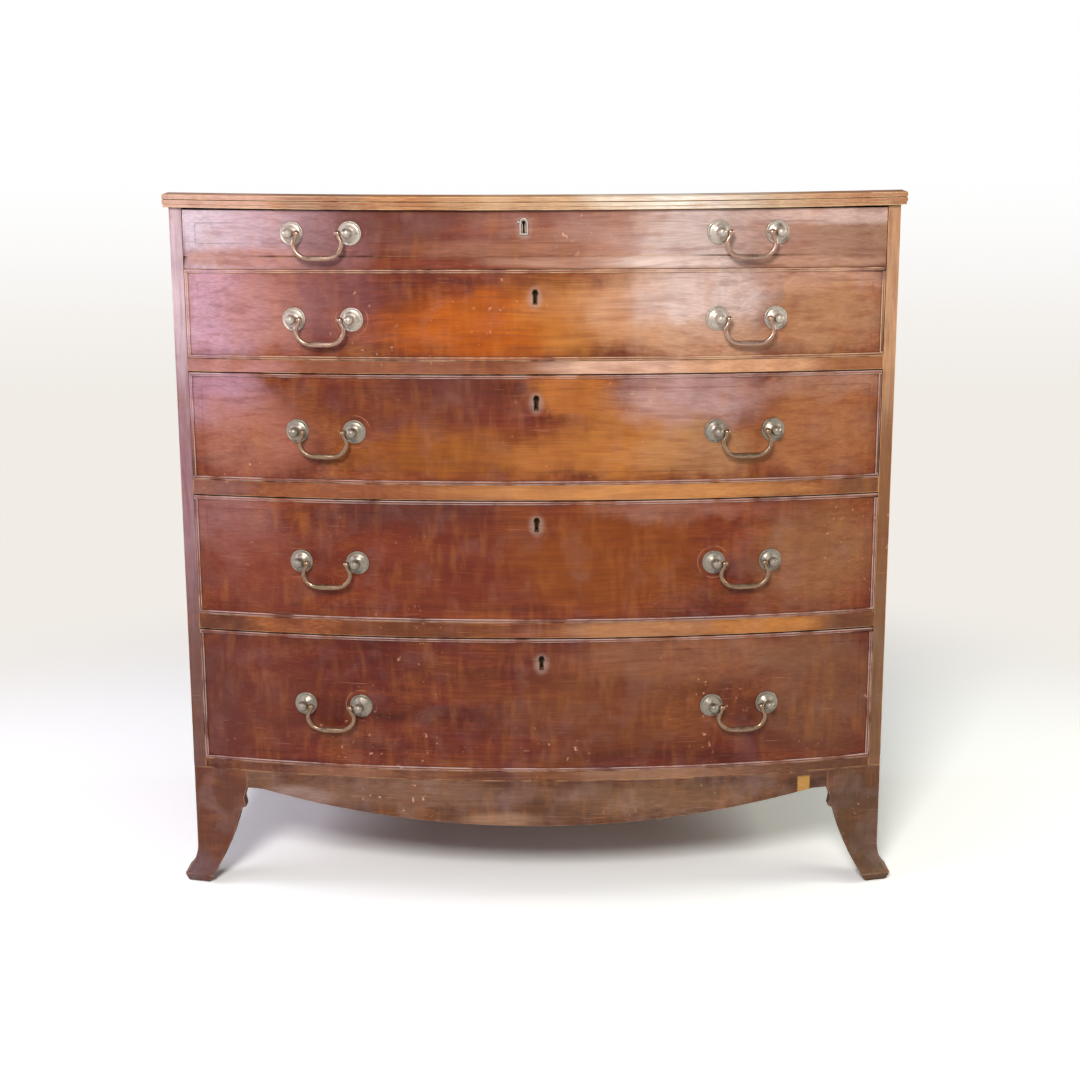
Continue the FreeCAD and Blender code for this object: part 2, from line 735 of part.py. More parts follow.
def top_of(number):
    """The top of a drawer's front above the bottom of its opening."""
    gap = "drawer_1_top_gap" if number == 1 else "drawer_top_gap"
    return f"(opening_{number} - {gap})"


def staves(number):
    """The five blanks of a coopered front: bowed outside, flat inside, a land at each end."""
    edges = [DRAWER_HALF, *FLAT_ENDS[1:-1], f"-{DRAWER_HALF}"]
    blanks = []
    for high, low in zip(edges, edges[1:]):
        corners = [(low, bow_y(low)), (high, bow_y(high))]
        if high == edges[0]:
            corners += [(high, "front_thickness"), (LAND_EDGE, "front_thickness")]
        else:
            corners.append((high, inner_y(high)))
        if low == edges[-1]:
            corners += [(f"-{LAND_EDGE}", "front_thickness"), (low, "front_thickness")]
        else:
            corners.append((low, inner_y(low)))
        name = f"stave_{number}_{len(blanks) + 1}_blank"
        height = f"{top_of(number)} - running_gap"
        blanks.append(board(name, corners, height, {0: BOW_RADIUS}, "running_gap"))
    return blanks


def build_lip():
    """The strip glued under the front of drawer 1, which hides the first rail."""
    plan, arcs = bow_band(DRAWER_HALF, "0", "lip_thickness")
    return board("lip_strip", plan, "rail_1 + running_gap", arcs, "-rail_1")


def build_beads(number):
    """Cock beads on all four edges of a front, standing a little proud of it."""
    top = top_of(number)
    behind = "bead_depth - bead_proud"
    plan, arcs = flat_backed_band(DRAWER_HALF, "-bead_proud", behind)
    upper = board(f"bead_{number}_top", plan, "bead_thickness", arcs, f"{top} - bead_thickness")
    lower = board(f"bead_{number}_bottom", plan, "bead_thickness", arcs, "running_gap")
    plan, arcs = bow_band_end(f"({DRAWER_HALF} - bead_thickness)", DRAWER_HALF, "-bead_proud",
                              behind)
    right = board(f"bead_{number}_right", plan, f"{top} - running_gap - 2 * bead_thickness", arcs,
                  "running_gap + bead_thickness")
    return [upper, lower, right, mirrored(f"bead_{number}_left", right)]


def side_outline(number):
    """A drawer side seen from the right: tails at the front, and at the rear for the back."""
    low = "running_gap"
    high = f"({top_of(number)} - lining_top_drop)"
    back_low = "(drawer_bottom_rise + drawer_bottom_thickness)"
    back_high = f"({top_of(number)} - back_lining_drop)"
    rear = "drawer_length"
    shoulder = "(drawer_length - lining_thickness)"
    corners = [("front_thickness", low), (rear, low), (rear, back_low), (shoulder, back_low)]
    for tail in tails(REAR_TAILS[number], back_low, back_high, "lining_thickness"):
        corners += [(shoulder, tail[0]), (rear, tail[1]), (rear, tail[2]), (shoulder, tail[3])]
    corners += [(shoulder, back_high), (rear, back_high), (rear, high), ("front_thickness", high)]
    tip = "(front_thickness - tail_length)"
    for tail in reversed(tails(TAILS[number], low, high, "tail_length")):
        corners += [("front_thickness", tail[3]), (tip, tail[2]), (tip, tail[1]),
                    ("front_thickness", tail[0])]
    return corners


def tails(count, low, high, length):
    """Heights of the four corners of each tail: shoulder, tip, tip and shoulder again."""
    pitch = f"(({high} - {low}) / {count})"
    neck = f"({pitch} * tail_share / 2)"
    tip = f"({neck} + {length} * tail_slope)"
    heights = []
    for index in range(count):
        middle = f"({low} + {index + 0.5} * {pitch})"
        heights.append([f"{middle} - {neck}", f"{middle} - {tip}", f"{middle} + {tip}",
                        f"{middle} + {neck}"])
    return heights


def build_linings(number, bottom):
    """Two sides and the back, dovetailed together and grooved for the bottom."""
    outline = free_sketch(f"side_{number}_outline", side_outline(number), None, FACING_SIDE)
    sides = []
    for side, start in (("right", f"{DRAWER_HALF} - lining_thickness"), ("left", f"-{DRAWER_HALF}")):
        whole = extrude(f"lining_{number}_{side}_blank", outline, Vector(1, 0, 0), "lining_thickness")
        move(whole, x=start)
        sides.append(whole)
    back = box(f"back_{number}_blank", (f"-{DRAWER_HALF}", DRAWER_HALF),
               ("drawer_length - lining_thickness", "drawer_length"),
               ("drawer_bottom_rise + drawer_bottom_thickness",
                f"{top_of(number)} - back_lining_drop"))
    pieces = [cut(side.Name.replace("blank", "grooved"), side, [bottom]) for side in sides]
    pieces.append(cut(f"back_{number}_pinned", back, sides))
    return sides, pieces


def build_bottom(number):
    """The bottom slides in grooves of the sides and the front, and runs under the back."""
    half = f"({DRAWER_HALF} - lining_thickness + drawer_groove_depth)"
    edge = "(front_thickness - drawer_groove_depth)"
    corners = [(half, "drawer_length"), (f"-{half}", "drawer_length"), (f"-{half}", edge),
               *reversed(inner_flats("drawer_groove_depth")), (half, edge)]
    return board(f"bottom_{number}", corners, "drawer_bottom_thickness", None,
                 "drawer_bottom_rise")


# ---------------------------------------------------------------- locks

def keyhole_outline(number, margin):
    """A keyhole: a six-sided top and a slot under it, grown by a margin all round."""
    middle = f"keyhole_shift_{number}"
    height = f"({top_of(number)} - keyhole_drop_{number})"
    radius = f"(keyhole_radius + {margin})"
    half = f"(keyhole_slot_width / 2 + {margin})"
    foot = f"({height} - keyhole_slot_length - {margin})"
    right = [(half, foot), (half, f"({height} - {radius} * {sin(pi / 3)})"), (radius, height),
             (f"({radius} / 2)", f"({height} + {radius} * {sin(pi / 3)})")]
    left = [(f"-{across}", up) for across, up in reversed(right)]
    corners = [(f"({middle} + {across})", up) for across, up in right + left]
    return corners, {}


def arch_outline(number, margin):
    """An upright plate with a pointed arch at its top, taken in by a margin all round."""
    middle = f"keyhole_shift_{number}"
    height = f"({top_of(number)} - keyhole_drop_{number} - keyhole_slot_length / 2 + keyhole_radius)"
    half = f"(arch_escutcheon_width / 2 - {margin})"
    tall = f"(arch_escutcheon_height / 2 - {margin})"
    spring = f"({height} + {tall} - arch_escutcheon_width / 2)"
    corners = [(f"({middle} + {half})", f"({height} - {tall})"), (f"({middle} + {half})", spring),
               (middle, f"({height} + {tall})"), (f"({middle} - {half})", spring),
               (f"({middle} - {half})", f"({height} - {tall})")]
    return corners, {1: "arch_escutcheon_width", 2: "arch_escutcheon_width"}


def build_lock(number):
    """A lock let in flush behind the front, its bolt, and the escutcheon round the keyhole."""
    top = top_of(number)
    middle = f"keyhole_shift_{number}"
    case = box(f"lock_case_{number}_solid",
               (f"{middle} - lock_width / 2", f"{middle} + lock_width / 2"),
               (LOCK_FRONT, MIDDLE_FLAT), (f"{top} - lock_height", top))
    bolt_top = f"({top} - bolt_rest_drop)"
    bolt = box(f"lock_bolt_{number}", (f"{middle} - bolt_width / 2", f"{middle} + bolt_width / 2"),
               (BOLT_FRONT, f"{BOLT_FRONT} + bolt_thickness"), (f"{bolt_top} - bolt_height", bolt_top))
    channel = box(f"bolt_channel_{number}",
                  (f"{middle} - bolt_width / 2 - bolt_gap", f"{middle} + bolt_width / 2 + bolt_gap"),
                  (f"{BOLT_FRONT} - bolt_gap", f"{BOLT_FRONT} + bolt_thickness + bolt_gap"),
                  (f"{bolt_top} - bolt_height - bolt_gap", f"{top} + bolt_gap"))
    lock = cut(f"lock_case_{number}", case, [channel])

    face = "(-bow_depth)"
    hole = seen_from_front(f"keyhole_{number}", *keyhole_outline(number, "0"),
                           f"{face} - bead_depth", f"{LOCK_FRONT} + bolt_gap")
    if number == 1:
        outer = seen_from_front(f"escutcheon_{number}_outer", *arch_outline(number, "0"),
                                f"{face} - arch_escutcheon_thickness", face)
        inner = seen_from_front(f"escutcheon_{number}_inner",
                                *arch_outline(number, "arch_escutcheon_ring"),
                                f"{face} - bead_depth", f"{face} + bead_depth")
    else:
        outer = seen_from_front(f"escutcheon_{number}_outer",
                                *keyhole_outline(number, "escutcheon_wall"),
                                f"{face} - escutcheon_proud", f"{face} + escutcheon_depth")
        inner = hole
    escutcheon = cut(f"escutcheon_{number}", outer, [inner])
    node(f"drawer_{number}_lock", [lock, escutcheon], FLOOR_OF[number])
    node(f"drawer_{number}_lock_bolt", [bolt], FLOOR_OF[number])
    return [case, hole] if number == 1 else [case, hole, escutcheon]


# ---------------------------------------------------------------- handles

def on_bow(angle, reach=0.0):
    """The point at an angle round the bow, this far in front of it."""
    radius = value(BOW_RADIUS) + reach
    return Vector(radius * sin(angle), value(BOW_CENTRE) - radius * cos(angle), 0)


def facing(angle):
    """Turns a part drawn along +Z to stand square on the bow at an angle, with its Y upwards."""
    outwards = Vector(sin(angle), -cos(angle), 0)
    return Rotation(Vector(cos(angle), sin(angle), 0), Vector(0, 0, 1), outwards, "ZXY")


def section(sides, radius, centre, across, up):
    """The corners of a regular polygon with flat sides towards both directions."""
    corners = []
    for number in range(sides):
        angle = 2 * pi * (number + 0.5) / sides
        corners.append(centre + across * (radius * cos(angle)) + up * (radius * sin(angle)))
    return corners


def flat_face(corners):
    return Part.Face(Part.makePolygon(corners + corners[:1]))


def flat_sided(sections):
    """A solid with flat faces from each section's corners to the next section's."""
    faces = [flat_face(sections[0]), flat_face(sections[-1])]
    for lower, upper in zip(sections, sections[1:]):
        for number in range(len(lower)):
            after = (number + 1) % len(lower)
            faces.append(flat_face([lower[number], lower[after], upper[after]]))
            faces.append(flat_face([lower[number], upper[after], upper[number]]))
    shell = Part.makeShell(faces)
    shell.sewShape()
    return Part.Solid(shell).removeSplitter()


def turned(sides, profile):
    """A small turned piece with flats all round: (radius, height) pairs up the Z axis."""
    across = Vector(1, 0, 0)
    up = Vector(0, 1, 0)
    return flat_sided([section(sides, value(radius), Vector(0, 0, value(height)), across, up)
                       for radius, height in profile])


def along_x(shape, start, way):
    """Lay a piece made along +Z down along X, from a distance out to one side."""
    return placed(shape, Placement(Vector(way * start, 0, 0), Rotation(Vector(0, way, 0), 90)))


def post_shape():
    """A rose and its post: a domed rose and a head that swells from its neck, on a shank."""
    return turned(8, [
        ("shank_radius", "-shank_length"), ("shank_radius", "0"),
        ("rose_radius", "0"), ("rose_radius", "rose_rim"), ("post_radius", "rose_height"),
        ("post_head_radius", "post_standoff"), ("post_head_radius / 2", "post_reach")])


def bail_shape():
    """A swan-neck bail round the origin, hanging down, its pins along X and its front along +Z.

    Its middle line is three arcs on each side, tangent to each other: the grip, the corner and
    the arm, which leans in to the knuckle.
    """
    half = value("bail_half_width")
    swell = value("bail_swell_width")
    grip_arc = value("bail_grip_arc")
    corner_arc = value("bail_corner_arc")
    grip_middle = Vector(0, grip_arc - value("bail_drop"), 0)
    across = swell - corner_arc
    tilt = asin(across / (grip_arc - corner_arc))
    corner_middle = Vector(across, grip_middle.y - (grip_arc - corner_arc) * cos(tilt), 0)
    lean = swell - half
    arm_arc = (lean ** 2 + corner_middle.y ** 2) / (2 * lean)
    arm_middle = Vector(swell - arm_arc, corner_middle.y, 0)
    arm_turn = asin(-corner_middle.y / arm_arc)

    grip = value("bail_grip_radius")
    arm = value("bail_arm_radius")
    knuckle = value("bail_knuckle_radius")
    start = tilt - pi / 2
    eye = knuckle / arm_arc
    stops = [(grip_middle, grip_arc, -pi / 2, grip), (grip_middle, grip_arc, start, grip),
             (corner_middle, corner_arc, start / 2, (grip + arm) / 2),
             (corner_middle, corner_arc, 0, arm), (arm_middle, arm_arc, arm_turn / 2, arm),
             (arm_middle, arm_arc, arm_turn - 1.5 * eye, arm),
             (arm_middle, arm_arc, arm_turn - eye, knuckle),
             (arm_middle, arm_arc, arm_turn + eye, knuckle)]
    right = []
    left = []
    for middle, arc, angle, radius in stops:
        outwards = Vector(cos(angle), sin(angle), 0)
        centre = middle + outwards * arc
        right.append(section(6, radius, centre, outwards, Vector(0, 0, 1)))
        centre.x *= -1
        outwards.x *= -1
        left.append(section(6, radius, centre, outwards, Vector(0, 0, 1)))
    bar = flat_sided(left[:0:-1] + right)
    root = half - arm
    pin = turned(6, [("pin_radius", "0"), ("pin_radius", f"{pin_tip() - root}")])
    return bar.fuse([along_x(pin, root, 1), along_x(pin, root, -1)])


def post_half_spacing():
    """Half the distance between the pivot holes, measured where the heads stand off the bow."""
    reach = value(BOW_RADIUS) + value("post_standoff")
    return reach * sin(value("post_spacing") / 2 / value(BOW_RADIUS))


def pin_tip():
    return post_half_spacing() - value("post_head_radius") + value("pin_engagement")


def build_handles(number, post, bail):
    """Both handles of a drawer. Returns what is cut from its front for their posts."""
    centre_angle = value("handle_position") / value(BOW_RADIUS)
    step = value("post_spacing") / 2 / value(BOW_RADIUS)
    height = Vector(0, 0, value(f"handle_height_{number}"))
    hole_start = post_half_spacing() - value("post_head_radius") - value("pin_engagement")
    hole_length = pin_tip() + value("pin_end_gap") - hole_start
    hole_radius = f"((pin_radius + pin_gap) / {cos(pi / 8)})"
    hole = turned(8, [(hole_radius, "0"), (hole_radius, f"{hole_length}")])
    drilled = "shank_radius + shank_gap"
    shank_hole = turned(8, [(drilled, "-2 * front_thickness"), (drilled, "rose_rim")])
    mounts = []
    openings = []
    for side, middle in (("left", -centre_angle), ("right", centre_angle)):
        pivot = (on_bow(middle - step, value("post_standoff"))
                 + on_bow(middle + step, value("post_standoff"))) * 0.5 + height
        handle_place = Placement(pivot, facing(middle))
        for way in (-1, 1):
            angle = middle + way * step
            place = Placement(on_bow(angle) + height, facing(angle))
            bore = placed(along_x(hole, hole_start, way), handle_place)
            mounts.append(placed(post, place).cut(bore))
            openings.append(placed(shank_hole, place))
        swinging = set_shape(f"bail_{number}_{side}_bar", bail)
        swinging.Placement = handle_place
        node(f"bail_{number}_{side}", [swinging], FLOOR_OF[number])
    mounts_shape = set_shape(f"handle_mounts_{number}", Part.makeCompound(mounts))
    node(f"drawer_{number}_handle_mounts", [mounts_shape], FLOOR_OF[number])
    return set_shape(f"post_openings_{number}", Part.makeCompound(openings))


def placed(shape, place):
    """A copy of a shape, moved on from where it is."""
    copy = shape.copy()
    copy.Placement = place.multiply(copy.Placement)
    return copy


def build_drawer(number, post, bail):
    """One drawer: bowed front, dovetailed linings, bottom, beads, lock and handles."""
    bottom = build_bottom(number)
    sides, linings = build_linings(number, bottom)
    let_in = sides + [bottom]
    if number in BEADED_DRAWERS:
        beads = build_beads(number)
        node(f"drawer_{number}_beads", beads, FLOOR_OF[number])
        let_in += beads
    let_in += build_lock(number)
    let_in.append(build_handles(number, post, bail))
    recesses = fuse(f"front_{number}_recesses", let_in)
    front = [cut(blank.Name.replace("blank", "cut"), blank, [recesses]) for blank in staves(number)]
    if number == 1:
        front.append(build_lip())
    node(f"drawer_{number}_front", front, FLOOR_OF[number])
    node(f"drawer_{number}_linings", linings, FLOOR_OF[number])
    node(f"drawer_{number}_bottom", [bottom], FLOOR_OF[number])


def check(things):
    """Stop where a feature failed or a shape is missing or broken."""
    for thing in things:
        if "Invalid" in thing.State or "Error" in thing.State:
            raise RuntimeError(f"{thing.Label} failed: {thing.State}")
    for part in NODES:
        if part.Shape.isNull() or not part.Shape.isValid():
            raise RuntimeError(f"{part.Label} has no sound shape")


build_top()
build_edge_strips()
build_carcase()
build_stops()
build_feet()
build_apron_and_skirts()
post = post_shape()
bail = bail_shape()
for number in DRAWERS:
    build_drawer(number, post, bail)
doc.recompute()
check(doc.Objects)
os.makedirs("parts", exist_ok=True)
for part in NODES:
    part.Shape.exportStep(f"parts/{part.Label}.step")
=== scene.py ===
"""Bow-front chest of five long drawers, in worn mahogany with brass swan-neck handles.

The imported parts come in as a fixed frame. Each class here dresses one sub-assembly of them, or
makes the pieces that stand in place of the plain ones. Lengths in the fields are millimetres.
"""

import json
import logging
import math
from dataclasses import dataclass, replace
from enum import Enum
from typing import Any, Callable, Iterable, Sequence

import bmesh
import bpy
from mathutils import Matrix, Vector

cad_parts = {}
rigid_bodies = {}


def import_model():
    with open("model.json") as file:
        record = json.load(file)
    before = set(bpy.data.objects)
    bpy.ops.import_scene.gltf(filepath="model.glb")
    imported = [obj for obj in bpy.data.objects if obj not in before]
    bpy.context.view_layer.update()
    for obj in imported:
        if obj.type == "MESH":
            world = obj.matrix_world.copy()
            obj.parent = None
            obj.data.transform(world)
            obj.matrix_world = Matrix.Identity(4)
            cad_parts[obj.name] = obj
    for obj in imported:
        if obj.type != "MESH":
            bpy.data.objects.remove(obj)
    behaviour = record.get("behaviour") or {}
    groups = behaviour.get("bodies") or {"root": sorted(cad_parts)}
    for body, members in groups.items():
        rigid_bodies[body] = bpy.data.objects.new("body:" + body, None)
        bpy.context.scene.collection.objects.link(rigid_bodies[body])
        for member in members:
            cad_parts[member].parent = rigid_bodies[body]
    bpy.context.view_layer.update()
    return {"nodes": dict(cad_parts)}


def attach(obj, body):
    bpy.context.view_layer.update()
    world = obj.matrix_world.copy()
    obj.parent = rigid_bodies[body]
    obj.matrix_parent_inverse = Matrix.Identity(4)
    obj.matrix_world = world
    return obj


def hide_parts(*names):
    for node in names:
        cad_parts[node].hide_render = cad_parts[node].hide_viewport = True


for leftover in list(bpy.data.objects):
    bpy.data.objects.remove(leftover, do_unlink=True)
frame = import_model()

MM = 0.001
log = logging.getLogger("chest")

Profile = Sequence[tuple[float, float]]
Triple = tuple[float, float, float]
Socket = bpy.types.NodeSocket


# ------------------------------------------------------------------ colours and finishes

def linear(code: str) -> tuple[float, float, float, float]:
    """Turn an sRGB hex colour into linear light.

    Args:
        code: the colour as "#RRGGBB".

    Returns:
        Red, green, blue and an alpha of 1.
    """
    shares = [int(code[place:place + 2], 16) / 255 for place in (1, 3, 5)]
    light = [s / 12.92 if s <= 0.04045 else ((s + 0.055) / 1.055) ** 2.4 for s in shares]
    return light[0], light[1], light[2], 1.0


class Grain(Enum):
    """The way the grain of a board runs."""

    ACROSS = 0
    BACK = 1
    UP = 2

    def stretch(self, along: float, across: float) -> Triple:
        """Draw a pattern out along the grain.

        Args:
            along: its repeats in a metre along the grain.
            across: its repeats in a metre across the grain.

        Returns:
            The repeats in a metre on each axis.
        """
        scales = [across, across, across]
        scales[self.value] = along
        return scales[0], scales[1], scales[2]


class Recipe:
    """A material while it is mixed."""

    def __init__(self, name: str, holder: bpy.types.ID | None = None) -> None:
        """Start with no nodes.

        Args:
            name: the new material's name.
            holder: a world that is mixed in place of a new material.
        """
        self.material = holder or bpy.data.materials.new(name)
        self.material.use_nodes = True
        self.tree = self.material.node_tree
        self.tree.nodes.clear()

    def add(self, kind: str, settings: dict[str, Any] | None = None,
            links: dict[Any, Any] | None = None) -> bpy.types.Node:
        """Add a node.

        Args:
            kind: the node's type, without "ShaderNode".
            settings: its properties; "stops" gives a colour ramp's places and colours.
            links: for each input, by name or number, a value or the output that feeds it.

        Returns:
            The new node.
        """
        node = self.tree.nodes.new("ShaderNode" + kind)
        for name, setting in (settings or {}).items():
            if name == "stops":
                ramp = node.color_ramp
                while len(ramp.elements) < len(setting):
                    ramp.elements.new(1.0)
                for element, (place, code) in zip(ramp.elements, setting):
                    element.position = place
                    element.color = linear(code)
            else:
                setattr(node, name, setting)
        for socket, source in (links or {}).items():
            if isinstance(source, bpy.types.NodeSocket):
                self.tree.links.new(source, node.inputs[socket])
            else:
                node.inputs[socket].default_value = source
        return node

    def coats(self, colour: Any, *layers: tuple[str, Any]) -> Socket:
        """Lay coats of colour over one another.

        Args:
            colour: the ground, a linear colour or an output.
            *layers: each coat's hex colour, and how much of it covers, from 0 to 1.

        Returns:
            The output that gives the outermost colour.
        """
        for code, share in layers:
            mixed = self.add("Mix", {"data_type": "RGBA"}, {0: share, 6: colour, 7: linear(code)})
            colour = mixed.outputs[2]
        return colour

    def speckle(self, place: Any, scale: float | Triple, low: float, high: float,
                detail: float = 2.0, top: float = 1.0, within: Any = None) -> Socket:
        """Make a ragged mask of spots, or of streaks where the scale differs between axes.

        Args:
            place: where the pattern is read.
            scale: its repeats in a metre, one number or one for each axis.
            low: the noise value at which the mask starts.
            high: the noise value at which it is full.
            detail: how many finer layers the noise has.
            top: the mask's highest value.
            within: another mask that it is multiplied by.

        Returns:
            The mask's output.
        """
        if isinstance(scale, tuple):
            place = self.add("Mapping", None, {"Vector": place, "Scale": scale}).outputs[0]
            scale = 1.0
        noise = self.add("TexNoise", None, {"Vector": place, "Scale": scale, "Detail": detail})
        spots = self.add("MapRange", None,
                         {"Value": noise.outputs[0], "From Min": low, "From Max": high,
                          "To Max": top})
        if within is None:
            return spots.outputs[0]
        both = self.add("Math", {"operation": "MULTIPLY"}, {0: spots.outputs[0], 1: within})
        return both.outputs[0]

    def swayed(self, place: Any, scale: float, detail: float, reach: float) -> Socket:
        """Bend a pattern's coordinates slowly, so that no line in it is straight.

        Args:
            place: the coordinates.
            scale: how often they bend in a metre.
            detail: how many finer bends there are.
            reach: how far they move, in metres.

        Returns:
            The output that gives the bent coordinates.
        """
        noise = self.add("TexNoise", None, {"Vector": place, "Scale": scale, "Detail": detail})
        moved = self.add("VectorMath", {"operation": "MULTIPLY_ADD"},
                         {0: noise.outputs[1], 1: (reach, reach, reach), 2: place})
        return moved.outputs[0]

    def close(self, **links: Any) -> bpy.types.Material:
        """End the material in one surface shader.

        Args:
            **links: its inputs, with underscores for spaces.

        Returns:
            The finished material.
        """
        named = {name.replace("_", " "): source for name, source in links.items()}
        shader = self.add("BsdfPrincipled", None, named)
        self.add("OutputMaterial", None, {"Surface": shader.outputs[0]})
        return self.material


@dataclass(frozen=True)
class Patch:
    """A soft-edged area of another colour on a face seen from the front. It is used for stained and
    faded polish, and for painted glare and painted shade.
    """

    x: float
    z: float
    half_width: float
    half_height: float
    colour: str
    strength: float = 1.0
    soft: float = 0.45          # the share of its size over which the edge fades, each way
    square: bool = False
    y: float = 0.0
    half_depth: float = 0.0     # 0 where the patch goes right through

    def mask(self, recipe: Recipe, place: Any, clouds: Any) -> Socket:
        """Make the patch's mask.

        Args:
            recipe: the material.
            place: the coordinates that it is read in, in metres.
            clouds: a mask that thins it unevenly.

        Returns:
            The output that gives the mask, full at the middle of the patch.
        """
        sizes = (self.half_width * MM, self.half_depth * MM, self.half_height * MM)
        scale = [1 / size if size else 0.0 for size in sizes]
        centre = (self.x * MM, self.y * MM, self.z * MM)
        shift = [-where * factor for where, factor in zip(centre, scale)]
        local = recipe.add("Mapping", None, {"Vector": place, "Location": shift, "Scale": scale})
        if self.square:
            sides = recipe.add("VectorMath", {"operation": "ABSOLUTE"}, {0: local.outputs[0]})
            parts = recipe.add("SeparateXYZ", None, {0: sides.outputs[0]})
            reach = recipe.add("Math", {"operation": "MAXIMUM"},
                               {0: parts.outputs[0], 1: parts.outputs[2]}).outputs[0]
        else:
            reach = recipe.add("VectorMath", {"operation": "LENGTH"},
                               {0: local.outputs[0]}).outputs["Value"]
        fade = recipe.add("MapRange", {"interpolation_type": "SMOOTHSTEP"},
                          {"Value": reach, "From Min": 1 + self.soft, "From Max": 1 - self.soft,
                           "To Max": self.strength})
        thinned = recipe.add("Math", {"operation": "MULTIPLY"}, {0: fade.outputs[0], 1: clouds})
        return thinned.outputs[0]


@dataclass(frozen=True)
class Stringing:
    """A thin dark line let into a drawer's front, as a rectangle, faded and lost in places."""

    half_width: float
    low: float
    high: float
    width: float = 1.5
    colour: str = "#2C120C"

    def mask(self, recipe: Recipe, place: Any) -> Socket:
        """Make the line's mask from the distance to the rectangle.

        Args:
            recipe: the material.
            place: the coordinates that it is read in, in metres.

        Returns:
            The mask's output.
        """
        middle = (self.low + self.high) / 2 * MM
        local = recipe.add("VectorMath", {"operation": "SUBTRACT"}, {0: place, 1: (0, 0, middle)})
        sides = recipe.add("VectorMath", {"operation": "ABSOLUTE"}, {0: local.outputs[0]})
        size = (self.half_width * MM, 10.0, (self.high - self.low) / 2 * MM)
        past = recipe.add("VectorMath", {"operation": "SUBTRACT"}, {0: sides.outputs[0], 1: size})
        parts = recipe.add("SeparateXYZ", None, {0: past.outputs[0]})
        reach = recipe.add("Math", {"operation": "MAXIMUM"},
                           {0: parts.outputs[0], 1: parts.outputs[2]})
        off = recipe.add("Math", {"operation": "ABSOLUTE"}, {0: reach.outputs[0]})
        line = recipe.add("MapRange", None,
                          {"Value": off.outputs[0], "From Min": self.width * 0.8 * MM,
                           "From Max": self.width * 0.3 * MM})
        return recipe.speckle(place, 11, 0.42, 0.64, 3.0, 0.32, within=line.outputs[0])


@dataclass(frozen=True)
class Ring:
    """The mark that a turned rose has left in the polish round it, broken in places."""

    x: float
    z: float
    radius: float = 22.5
    half_line: float = 1.1
    colour: str = "#CE937C"

    def mask(self, recipe: Recipe, place: Any) -> Socket:
        """Make the ring's mask.

        Args:
            recipe: the material.
            place: the coordinates that it is read in, in metres.

        Returns:
            The mask's output.
        """
        local = recipe.add("Mapping", None,
                           {"Vector": place, "Location": (-self.x * MM, 0, -self.z * MM),
                            "Scale": (1, 0, 1)})
        reach = recipe.add("VectorMath", {"operation": "LENGTH"}, {0: local.outputs[0]})
        off = recipe.add("Math", {"operation": "SUBTRACT"},
                         {0: reach.outputs["Value"], 1: self.radius * MM})
        side = recipe.add("Math", {"operation": "ABSOLUTE"}, {0: off.outputs[0]})
        line = recipe.add("MapRange", None,
                          {"Value": side.outputs[0], "From Min": self.half_line * MM,
                           "From Max": 0.3 * MM})
        return recipe.speckle(place, 45, 0.44, 0.58, top=0.3, within=line.outputs[0])


